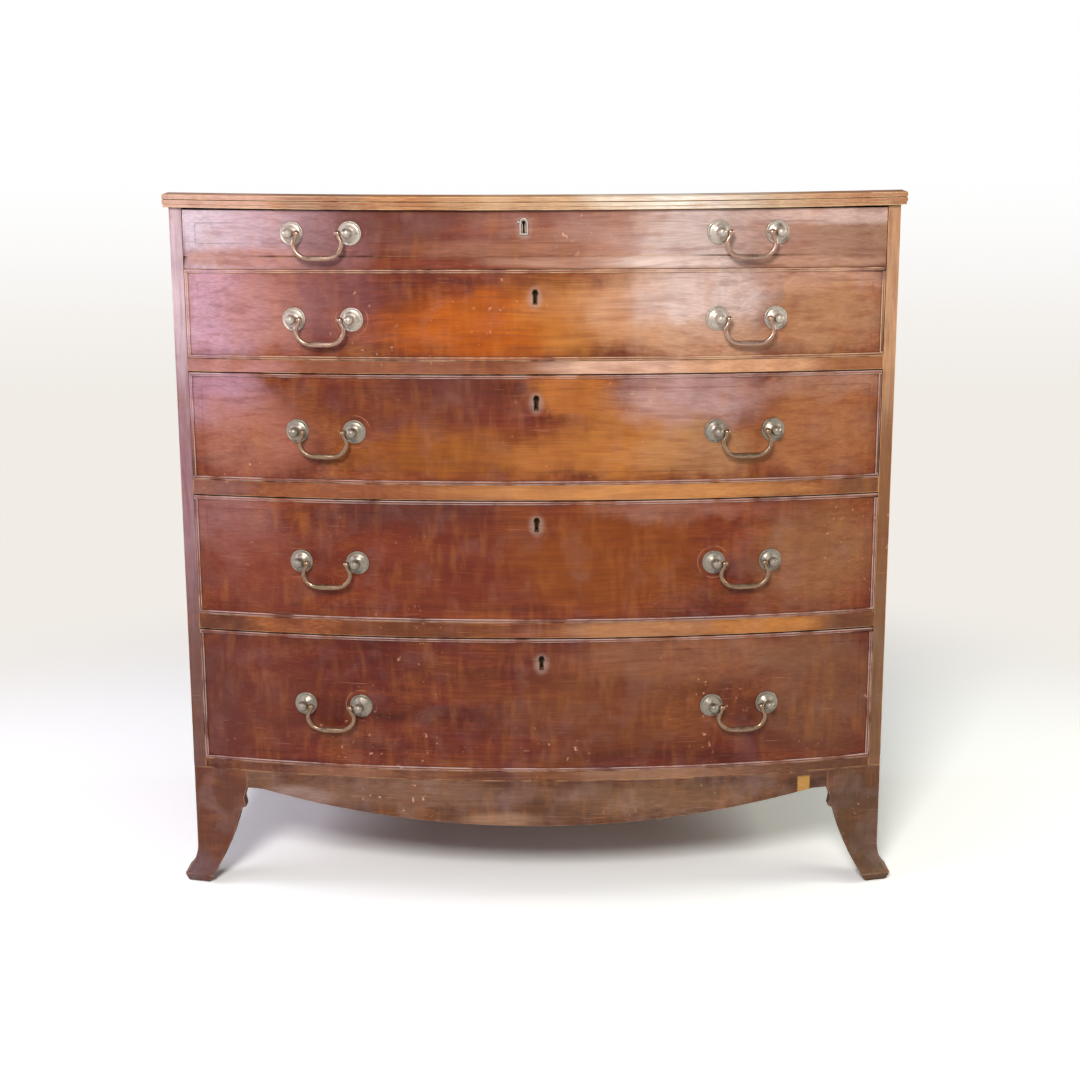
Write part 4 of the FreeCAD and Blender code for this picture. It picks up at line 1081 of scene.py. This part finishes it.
@dataclass
class Handle:
    """A swan-neck handle: two posts with turned roses, and the bail that hangs between them."""

    number: int
    side: int                           # -1 on the left, 1 on the right
    height: float
    position: float = 293.0
    spacing: float = 82.0
    standoff: float = 16.5
    rose: Profile = ((0, 0.0), (16.3, 0.0), (16.5, 0.5), (16.3, 1.1), (15.7, 1.4), (14.9, 1.3),
                     (13.8, 0.9), (12.6, 1.0), (11.2, 1.5), (9.6, 2.5), (8.0, 3.5), (6.7, 4.1),
                     (5.7, 4.4), (5.3, 5.0), (4.5, 5.4), (4.0, 6.3), (3.8, 7.6), (4.1, 8.8),
                     (5.0, 9.7), (5.9, 10.4), (6.7, 12.3), (7.15, 14.6), (7.2, 16.6),
                     (6.95, 18.7), (6.2, 20.7), (5.1, 22.2), (3.6, 23.3), (1.8, 23.9), (0, 24.0))
    bail: Sequence[Triple] = (          # x, y and the radius there, from a knuckle inwards
        (29.0, 0.6, 3.1), (29.4, -3.6, 3.1), (32.2, -8.0, 3.0), (34.4, -13.5, 3.1),
        (33.4, -20.5, 3.2), (28.8, -27.4, 3.2), (21.8, -32.0, 3.1), (13.5, -33.4, 3.7),
        (6.5, -33.4, 4.2))
    knuckle: Profile = ((0, -4.6), (1.9, -4.4), (3.4, -3.2), (4.2, -1.6), (4.4, 0), (4.2, 1.6),
                        (3.4, 3.2), (1.9, 4.4), (0, 4.6))
    knuckle_place: float = 29.0         # to each side of the handle's middle
    pin_radius: float = 1.9
    pin_stop: float = 3.6               # how far before its post's axis a pin ends
    shank: Triple = (34.2, 2.0, -34.0)  # its length, its radius and its inner end
    nut: Triple = (9.5, 9.5, 2.2)
    nut_arris: float = 0.5
    nut_place: float = -32.8

    def angle(self, step: float = 0.0) -> float:
        """Give the angle on the bow of the handle's middle, or of a part of the spacing from it."""
        return (self.side * self.position + step * self.spacing) / BOW.radius

    def posts(self, shape: bmesh.types.BMesh) -> None:
        """Add both posts with their roses, shanks and nuts.

        Args:
            shape: the mesh that they are added to.
        """
        rose = turned(self.rose, 40)
        shank = rounded_rod(*self.shank, 16)
        nut = bmesh.new()
        bmesh.ops.create_cube(nut, size=1.0, matrix=Matrix.Diagonal((*self.nut, 1)))
        ease(nut, nut.edges[:], self.nut_arris, clamp=False)
        for step in (-0.5, 0.5):
            place = BOW.place(self.angle(step), self.height)
            merge(shape, rose, place)
            merge(shape, shank, place)
            merge(shape, nut, place @ Matrix.Translation((0, 0, self.nut_place)))
        for part in (rose, shank, nut):
            part.free()

    def swing(self, material: bpy.types.Material) -> None:
        """Make the bail, with the knuckles and pins that it turns on.

        Args:
            material: its finish.
        """
        half = [(x, y, 0.0) for x, y, _ in self.bail]
        radii = [radius for *_, radius in self.bail]
        other = [(-x, y, z) for x, y, z in half]
        shape = swept(half + other[::-1], radii + radii[::-1])
        knuckle = turned(self.knuckle, 24)
        axis_radius = BOW.radius + self.standoff
        half_turn = self.spacing / 2 / BOW.radius
        post = axis_radius * math.sin(half_turn)
        pin = rounded_rod(post - self.knuckle_place - self.pin_stop, self.pin_radius, 0.0, 16)
        for way in (-1, 1):
            across = Matrix.Translation((way * self.knuckle_place, 0, 0)) @ Matrix.Rotation(
                way * math.pi / 2, 4, "Y")
            merge(shape, knuckle, across)
            merge(shape, pin, across)
        drop = axis_radius * (1 - math.cos(half_turn))
        shape.transform(BOW.place(self.angle(), self.height, self.standoff - drop))
        word = "left" if self.side < 0 else "right"
        node = f"bail_{self.number}_{word}"
        show(shape, node + "_swan_neck", node, material, (node,), 60)
        knuckle.free()
        pin.free()


@dataclass
class Keyhole:
    """The brass that lines a keyhole: a thin thread, or on the top drawer an arched plate."""

    x: float
    z: float
    radius: float = 3.3
    slot_width: float = 4.4
    low: float = 9.2                # the slot's foot, under the sawn hole's centre
    rise: float = 6.3               # how far wear has raised the arc's centre
    wall: float = 0.6
    arched: bool = False
    around: Triple = (8.0, -13.0, 6.0)      # a box round the sawn hole: half width, foot, head
    wider: float = 1.35             # the worn hole's width, against the sawn one's
    higher: float = 1.6
    knob: Profile = ((0, 0), (1.7, 0), (1.9, 0.8), (1.5, 1.5), (0.8, 1.9), (0, 2.0))
    knob_place: Triple = (-7.4, 0.5, 0.0)

    def widen(self, point: Vector) -> Vector:
        """Wear the hole in the wood larger than it was sawn.

        Args:
            point: a point of the drawer's front, in metres.

        Returns:
            The same point, or where wear has moved it to.
        """
        half_width, foot, head = self.around
        aside, up = point.x - self.x * MM, point.z - self.z * MM
        if abs(aside) > half_width * MM or not foot * MM < up < head * MM:
            return point
        return Vector((self.x * MM + aside * self.wider, point.y,
                       self.z * MM + (up + self.low * MM) * self.higher - self.low * MM))

    def ring(self, half_width: float, radius: float, low: float, wall: float,
             back: float, front: float) -> bmesh.types.BMesh:
        """Make a walled outline: straight sides below and an arc above.

        Args:
            half_width: half the width between the sides.
            radius: the arc's radius.
            low: the level of the lower end, under the arc's centre.
            wall: the wall's thickness, outside the outline.
            back: the level of the wall's rear edge.
            front: the level of its front edge.

        Returns:
            The closed ring, in millimetres.
        """
        shape = bmesh.new()
        rise = -math.sqrt(max(radius ** 2 - half_width ** 2, 0))
        foot = shape.verts.new((half_width, -low, back))
        hip = shape.verts.new((half_width, rise, back))
        shape.edges.new((foot, hip))
        sweep = math.tau - 2 * math.atan2(half_width, -rise) if rise < 0 else math.pi
        spun = bmesh.ops.spin(shape, geom=[hip], cent=(0, 0, 0), axis=(0, 0, 1), angle=sweep,
                              steps=16)
        last = spun["geom_last"][0]
        toe = shape.verts.new((-half_width, -low, back))
        shape.edges.new((last, toe))
        shape.edges.new((toe, foot))
        raised = bmesh.ops.extrude_edge_only(shape, edges=shape.edges[:])
        top = [item for item in raised["geom"] if isinstance(item, bmesh.types.BMVert)]
        bmesh.ops.translate(shape, verts=top, vec=(0, 0, front - back))
        bmesh.ops.recalc_face_normals(shape, faces=shape.faces)
        outwards = shape.faces[0].normal.dot(shape.faces[0].calc_center_median()
                                             + Vector((0, low / 2, 0))) > 0
        bmesh.ops.solidify(shape, geom=shape.faces[:], thickness=-wall if outwards else wall)
        bmesh.ops.recalc_face_normals(shape, faces=shape.faces)
        return shape

    def build(self, name: str, body: str, material: bpy.types.Material) -> None:
        """Make the escutcheon and set it in the face.

        Args:
            name: the piece's name.
            body: the body that it rides on.
            material: its finish.
        """
        place = BOW.place(self.x / BOW.radius, self.z + self.rise)
        shape = bmesh.new()
        thread = self.ring(self.slot_width / 2, self.radius, self.low + self.rise, self.wall,
                           back=-1.5, front=0.15)
        merge(shape, thread, place)
        thread.free()
        if self.arched:
            plate = self.ring(half_width=3.9, radius=3.9, low=14.6, wall=1.7, back=0.02,
                              front=1.5)
            ease(plate, plate.edges[:], 0.35)
            merge(shape, plate, place)
            knob = turned(self.knob, 20)
            merge(shape, knob, place @ Matrix.Translation(self.knob_place))
            plate.free()
            knob.free()
        show(shape, name, body, material)


@dataclass(frozen=True)
class Brasses:
    """The metals of one drawer's fittings."""

    posts: bpy.types.Material
    bails: bpy.types.Material
    locks: bpy.types.Material
    bolts: bpy.types.Material


@dataclass
class Drawer:
    """One long drawer: bowed front, cock beads, lock, handles and linings."""

    number: int
    low: float
    high: float
    handle_height: float
    keyhole: Keyhole
    patches: tuple[Patch, ...]
    rings: tuple[Ring, ...] = ()
    ground: str = "#6A2A18"
    ribbon: str = "#8A4024"
    amber: float = 0.2
    bead: str = "#CDB2AC"               # painted highlight along the beads' rounded arrises
    rubbed: str = "#B8A49A"             # polish worn by fingers at the keyhole
    half_width: float = 488.5
    string_inset: float = 18.0
    string_foot: float = 34.0           # the same at the foot of the lipped drawer
    seams: tuple[float, ...] = (-275.1, -91.7, 91.7, 275.1)
    sag: float = 2.6                    # of the lipped drawer's top edge
    sag_height: float = 25.0            # over which the sag dies out
    lip: float = 0.9                    # how far the lip has dropped
    lip_edge: float = 0.3               # the height of its underside above the drawer's foot
    lock_face: float = -247.5           # a lock's case lies behind this y, its plate before it

    @property
    def body(self) -> str:
        """The body that the drawer's pieces ride on."""
        return f"drawer_{self.number}"

    @property
    def lipped(self) -> bool:
        """Whether the front has a lip over the rail in place of beads."""
        return self.number == 1

    def settle(self, point: Vector) -> Vector:
        """Lower the top edge of the lipped drawer's front a little in the middle.

        Args:
            point: a point of the front, in metres.

        Returns:
            The lowered point.
        """
        across = max(0.0, 1 - (point.x / (self.half_width * MM)) ** 2)
        share = min(1.0, max(0.0, 1 + (point.z / MM - self.high) / self.sag_height))
        return Vector((point.x, point.y, point.z - self.sag * MM * across * share))

    def within(self, point: Vector) -> Vector:
        """Keep an eased bead inside the drawer's width.

        Args:
            point: a point of a bead, in metres.

        Returns:
            The point, moved in where it stood out.
        """
        side = self.half_width * MM
        return Vector((max(-side, min(side, point.x)), point.y, point.z))

    def shape_front(self, point: Vector) -> Vector:
        """Wear the keyhole, and let the lip hang a little lower.

        Args:
            point: a point of the front, in metres.

        Returns:
            The moved point.
        """
        if self.lipped and point.z < (self.low + self.lip_edge) * MM:
            point = Vector((point.x, point.y, point.z - self.lip * MM))
        return self.keyhole.widen(point)

    def build_front(self) -> None:
        """Ease the front and lay its veneer, and round the beads."""
        low = self.low + (self.string_foot if self.lipped else self.string_inset)
        fingered = Patch(self.keyhole.x, self.keyhole.z - 1, 10, 14, self.rubbed, 0.45)
        finish = MahoganyVeneer(
            f"mahogany_drawer_{self.number}", ground=self.ground, ribbon=self.ribbon,
            patches=(*self.patches, fingered), rings=self.rings, amber=self.amber,
            stringing=Stringing(self.half_width - self.string_inset, low,
                                self.high - self.string_inset)).mix()
        front = EasedBoard(f"{self.body}_front", self.body, finish, 0.5, seams=self.seams,
                           reshape=self.shape_front)
        if self.lipped:
            replace(front, slices=cuts(60), bend=self.settle).build()
            return
        front.build()
        # the beads' arrises take the bead colour as a painted highlight, where the rounding catches
        # the light
        beads = MahoganyVeneer(f"mahogany_beads_{self.number}", ground="#6E3422",
                               ribbon="#925438", bare=self.bead, wear=0.65, shine=0.5,
                               patches=self.patches).mix()
        EasedBoard(f"{self.body}_beads", self.body, beads, 1.3, 3, clamp=False,
                   chosen=BOW.on_face, bend=self.within).build()

    def build_fittings(self, brasses: Brasses) -> None:
        """Make the handles, the keyhole's brass and the lock.

        Args:
            brasses: their metals.
        """
        shape = bmesh.new()
        for side in (-1, 1):
            handle = Handle(self.number, side, self.handle_height)
            handle.posts(shape)
            handle.swing(brasses.bails)
        show(shape, f"{self.body}_roses", self.body, brasses.posts,
             (f"{self.body}_handle_mounts",), 60)
        # a plain keyhole's thread takes the near-black lock brass, as painted shade in the hole
        self.keyhole.build(f"{self.body}_keyhole_brass", self.body,
                           brasses.posts if self.keyhole.arched else brasses.locks)
        EasedBoard(f"{self.body}_lock", self.body, brasses.locks, 0.5, slot="brass",
                   keep=lambda middle: middle.y > self.lock_face * MM).build()
        dress(f"{self.body}_lock_bolt", brasses.bolts)

    def build_linings(self, sides: bpy.types.Material, board: bpy.types.Material) -> None:
        """Dress the drawer's sides, back and bottom.

        Args:
            sides: the finish of the sides and the back.
            board: the bottom's finish.
        """
        dress(f"{self.body}_linings", sides)
        dress(f"{self.body}_bottom", board)


# ------------------------------------------------------------------ the room

@dataclass(frozen=True)
class Lamp:
    """A soft square lamp. Its place, target and size are in metres, its power in watts."""

    name: str
    where: Triple
    target: Triple
    size: float
    power: float
    colour: str

    def hang(self) -> None:
        """Put the lamp in the room."""
        light = bpy.data.lights.new(self.name, "AREA")
        light.shape = "SQUARE"
        light.size = self.size
        light.energy = self.power
        light.color = linear(self.colour)[:3]
        lamp = bpy.data.objects.new(self.name, light)
        lamp.location = self.where
        aim = Vector(self.target) - Vector(self.where)
        lamp.rotation_euler = aim.to_track_quat("-Z", "Y").to_euler()
        bpy.context.scene.collection.objects.link(lamp)


@dataclass
class Stage:
    """A pale floor that fades into a white room, and plain soft light. Lengths are metres."""

    floor_colour: str = "#F4F8F8"
    distance: str = "#F1ECE6"           # the floor's far part and the wall low down
    floor_radius: float = 6.0
    near: float = 0.8                   # where the floor starts to fade, from the middle
    far: float = 1.9
    wall_foot: float = -0.11            # the rise of a line of sight where the wall gets whiter
    wall_white: float = 0.03            # and where it is all white
    world_level: str = "#767678"        # the room's light, seen by all but the camera
    paper_gain: float = 1.42            # how much brighter the camera sees the floor
    lamps: tuple[Lamp, ...] = (
        Lamp("key", (-0.5, -3.2, 2.3), (0.0, -0.25, 0.45), 0.8, 97, "#FFFAF6"),
        Lamp("low_left", (-2.3, 0.1, 1.3), (-0.4, 0.0, 0.1), 0.8, 17, "#F8F0FF"),
        Lamp("low_right", (2.3, 0.1, 1.3), (0.4, 0.0, 0.1), 0.8, 17, "#FFFFF0"),
        Lamp("window_left", (-2.6, -1.4, 1.2), (-0.1, -0.2, 0.5), 1.4, 13, "#F8EEFF"),
        Lamp("window_right", (2.6, -1.5, 1.3), (0.1, -0.2, 0.5), 1.4, 13, "#FFFBEE"),
    )

    def paper(self) -> bpy.types.Material:
        """Mix the floor's finish: matt paper that the camera sees fade out in the distance.

        Returns:
            The material.
        """
        recipe = Recipe("floor_pale_paper")
        place = recipe.add("TexCoord").outputs["Object"]
        reach = recipe.add("VectorMath", {"operation": "LENGTH"}, {0: place}).outputs["Value"]
        fade = recipe.add("MapRange", {"interpolation_type": "SMOOTHSTEP"},
                          {"Value": reach, "From Min": self.near, "From Max": self.far})
        rays = recipe.add("LightPath")
        seen = recipe.add("Math", {"operation": "MAXIMUM"},
                          {0: rays.outputs["Is Camera Ray"], 1: rays.outputs["Is Glossy Ray"]})
        share = recipe.add("Math", {"operation": "MULTIPLY"},
                           {0: fade.outputs[0], 1: seen.outputs[0]})
        gain = [part * self.paper_gain for part in linear(self.floor_colour)]
        sheet = recipe.add("Mix", {"data_type": "RGBA"},
                           {0: rays.outputs["Is Camera Ray"], 6: linear(self.floor_colour),
                            7: gain})
        matt = recipe.add("BsdfDiffuse", None, {"Color": sheet.outputs[2]})
        pale = recipe.add("Emission", None, {"Color": linear(self.distance), "Strength": 1.0})
        mixed = recipe.add("MixShader", None, {0: share.outputs[0], 1: matt.outputs[0],
                                               2: pale.outputs[0]})
        recipe.add("OutputMaterial", None, {"Surface": mixed.outputs[0]})
        return recipe.material

    def build_floor(self) -> None:
        """Lay the floor."""
        shape = bmesh.new()
        bmesh.ops.create_circle(shape, cap_ends=True, radius=self.floor_radius, segments=64)
        mesh = bpy.data.meshes.new("floor")
        shape.to_mesh(mesh)
        shape.free()
        mesh.materials.append(self.paper())
        floor = bpy.data.objects.new("floor", mesh)
        bpy.context.scene.collection.objects.link(floor)

    def build_world(self) -> None:
        """Surround the scene with even light, white where the camera sees it."""
        world = bpy.data.worlds.new("studio")
        bpy.context.scene.world = world
        recipe = Recipe("studio", world)
        ahead = recipe.add("TexCoord").outputs["Generated"]
        rise = recipe.add("SeparateXYZ", None, {0: ahead}).outputs[2]
        height = recipe.add("MapRange", {"interpolation_type": "SMOOTHSTEP"},
                            {"Value": rise, "From Min": self.wall_foot,
                             "From Max": self.wall_white})
        wall = recipe.coats(linear(self.distance), ("#FFFFFF", height.outputs[0]))
        rays = recipe.add("LightPath")
        light = recipe.add("Mix", {"data_type": "RGBA"},
                           {0: rays.outputs["Is Camera Ray"], 6: linear(self.world_level),
                            7: wall})
        sky = recipe.add("Background", None, {"Color": light.outputs[2], "Strength": 1.0})
        recipe.add("OutputWorld", None, {"Surface": sky.outputs[0]})

    def build(self) -> None:
        """Set up the floor, the world and the lamps."""
        self.build_floor()
        self.build_world()
        for lamp in self.lamps:
            lamp.hang()


@dataclass
class Viewpoint:
    """The camera: a little under the top, looking slightly down."""

    focal: float = 1644.5           # in pixels of a picture 1080 wide
    picture: float = 1080.0
    place: Triple = (19.2, -2513.3, 975.3)
    pitch: float = 11.186           # this and the next two are in degrees
    roll: float = -0.209
    yaw: float = -0.324
    sensor: float = 36.0

    def build(self) -> None:
        """Place the camera."""
        pitch, roll, yaw = (math.radians(turn) for turn in (self.pitch, self.roll, self.yaw))
        ahead = Vector((math.sin(yaw) * math.cos(pitch), math.cos(yaw) * math.cos(pitch),
                        -math.sin(pitch)))
        right = Vector((math.cos(yaw), -math.sin(yaw), 0))
        up = right.cross(ahead)
        side = right * math.cos(roll) + up * math.sin(roll)
        top = up * math.cos(roll) - right * math.sin(roll)
        camera = bpy.data.cameras.new("camera")
        camera.sensor_width = self.sensor
        camera.lens = self.focal / self.picture * self.sensor
        camera.clip_end = 50.0
        holder = bpy.data.objects.new("camera", camera)
        bpy.context.scene.collection.objects.link(holder)
        turn = Matrix((side, top, -ahead)).transposed().to_4x4()
        holder.matrix_world = Matrix.Translation(Vector(self.place) * MM) @ turn
        bpy.context.scene.camera = holder


# ------------------------------------------------------------------ the chest

# pale lilac: the painted reflection of the left window in the polish
WINDOW_GLARE = "#CFBCC6"

# In each drawer's patches, the pale lilac ones at the left and the pale ones at the upper right are
# painted reflections of the windows in the polish. The amber, red and dark ones are stains and
# faded polish, and the darker ground and patches of the lowest drawers partly paint the shade
# towards the floor.
DRAWERS = (
    Drawer(1, 904.0, 984.0, 951.5, Keyhole(-14, 959, arched=True), (
        Patch(-450, 955, 95, 60, WINDOW_GLARE, 1.0),
        Patch(-355, 955, 75, 55, "#C0A0A8", 0.85),
        Patch(-280, 940, 60, 50, "#8A6468", 0.75),
        Patch(-190, 965, 80, 30, "#6C4038", 0.8),
        Patch(140, 945, 90, 50, "#BE9484", 0.8),
        Patch(235, 950, 95, 50, "#CDB8B2", 0.95),
        Patch(350, 950, 80, 50, "#B48C7C", 0.8),
        Patch(450, 950, 70, 50, "#A27E68", 0.85),
        Patch(420, 974, 130, 12, "#D6BAB0", 0.8),
        Patch(-400, 918, 110, 14, "#B27C70", 0.8),
        Patch(10, 965, 90, 30, "#A4786A", 0.6),
        Patch(-20, 930, 150, 13, "#A87258", 0.6),
        Patch(70, 912, 130, 8, "#BE937D", 0.7),
        Patch(400, 911, 100, 7, "#BC9078", 0.7),
        Patch(190, 912, 90, 8, "#DCC4B8", 0.95),
        Patch(-290, 920.6, 90, 1.1, "#1C0B07", 0.95, 0.4, True),
        Patch(300, 920.6, 70, 1.1, "#24100A", 0.9, 0.4, True),
        Patch(-60, 920.6, 150, 1.0, "#3A1C10", 0.5, 0.4, True)),
        (Ring(-251, 951.5), Ring(251, 951.5))),
    Drawer(2, 779.0, 903.0, 835.0, Keyhole(1, 865.6), (
        Patch(-450, 850, 80, 70, "#CBA0B2", 0.95),
        Patch(-365, 850, 75, 60, "#B07A72", 0.85),
        Patch(-275, 860, 60, 60, "#7E4E50", 0.75),
        Patch(-75, 826, 125, 46, "#AE5400", 1.0),
        Patch(65, 835, 80, 45, "#BC7834", 0.85),
        Patch(150, 850, 90, 55, "#C89672", 0.9),
        Patch(235, 865, 95, 50, "#D8C0B8", 0.95),
        Patch(250, 805, 90, 30, "#C69A7C", 0.85),
        Patch(400, 885, 90, 20, "#C89C86", 0.8),
        Patch(410, 835, 80, 50, "#B68460", 0.9)),
        (Ring(-251, 835), Ring(251, 835)), ribbon="#A0522A", amber=0.45, bead="#E4BC94"),
    Drawer(3, 607.0, 759.0, 680.0, Keyhole(2, 721.2), (
        Patch(-450, 725, 70, 45, "#B4889A", 0.9),
        Patch(-400, 670, 90, 55, "#A56A56", 0.85),
        Patch(-170, 725, 130, 42, "#602C22", 0.85),
        Patch(-110, 650, 140, 34, "#8E5018", 0.85),
        Patch(50, 735, 60, 30, "#B86E30", 0.8),
        Patch(30, 642, 90, 24, "#AE6A32", 0.8),
        Patch(129, 670, 80, 50, "#B87434", 0.85),
        Patch(215, 725, 95, 42, "#B8928C", 0.9),
        Patch(230, 655, 75, 40, "#B48458", 0.8),
        Patch(400, 740, 100, 20, "#AC8270", 0.7),
        Patch(400, 675, 85, 65, "#A86E46", 0.85)),
        (Ring(-251, 680), Ring(251, 680)), amber=0.4),
    Drawer(4, 410.0, 584.0, 494.0, Keyhole(2, 550.6), (
        Patch(-440, 545, 70, 50, "#946460", 0.8),
        Patch(-400, 480, 90, 60, "#804030", 0.7),
        Patch(-180, 565, 120, 26, "#502A26", 0.85),
        Patch(-130, 500, 170, 60, "#6A2A1A", 0.6),
        Patch(100, 500, 130, 70, "#83430E", 0.8),
        Patch(200, 570, 100, 18, "#966656", 0.7),
        Patch(400, 500, 90, 75, "#926240", 0.85)),
        (Ring(251, 494),)),
    Drawer(5, 190.0, 386.0, 284.0, Keyhole(8, 351.1), (
        Patch(-420, 290, 90, 90, "#683428", 0.7),
        Patch(-465, 270, 35, 90, "#582E28", 0.6),
        Patch(230, 355, 190, 36, "#946446", 0.7),
        Patch(120, 280, 160, 60, "#784726", 0.6),
        Patch(410, 290, 90, 90, "#764E34", 0.75)),
        (Ring(-251, 284),), ground="#60241A", ribbon="#7A3520"),
)


def main() -> None:
    """Dress the chest from the top down, then set it in the room."""
    logging.basicConfig(level=logging.INFO, format="%(name)s: %(message)s")
    bpy.context.scene.view_settings.view_transform = "Standard"
    Top().build()
    Carcase().build()
    Base().build()
    pale = AgedBrass("brass_roses_pale").mix()
    grey = AgedBrass("brass_roses_lower_shaded", metal="#A39A8A", patina="#8E867C",
                     tarnish="#4C3F32").mix()
    upper_lit_bails = AgedBrass("brass_bails_upper_lit", metal="#C0A08C", patina="#A08478",
                        tarnish="#4E382C", roughness=0.36, dull=0.5, spots=0.5).mix()
    brown = AgedBrass("brass_bails_lower_shaded", metal="#A58A70", patina="#7E6450",
                      tarnish="#3A2A1E", roughness=0.36, dull=0.6, spots=0.6).mix()
    # the locks are mixed near black, so that the keyholes and the threads that line them show
    # painted shade
    dark_locks = AgedBrass("brass_locks_painted_dark", metal="#5A4A34", patina="#3A3024",
                      tarnish="#1E1811", roughness=0.5).mix()
    iron = OldIron("iron_lock_bolt").mix()
    sides = BareWood("oak_drawer_linings", Grain.BACK, "#A9835A", "#7F5C3A", "#5E4935", 4.0).mix()
    board = BareWood("oak_drawer_bottom", Grain.ACROSS, "#A27C54", "#7A5938", "#5A4633",
                     5.0).mix()
    # the brass of the three lower drawers is mixed darker than that of the two upper ones, as
    # painted shade towards the floor
    upper = Brasses(pale, upper_lit_bails, dark_locks, iron)
    lower = Brasses(grey, brown, dark_locks, iron)
    for drawer in DRAWERS:
        drawer.build_front()
        drawer.build_fittings(upper if drawer.number < 3 else lower)
        drawer.build_linings(sides, board)
    Stage().build()
    Viewpoint().build()


if __name__ == "__main__":
    main()
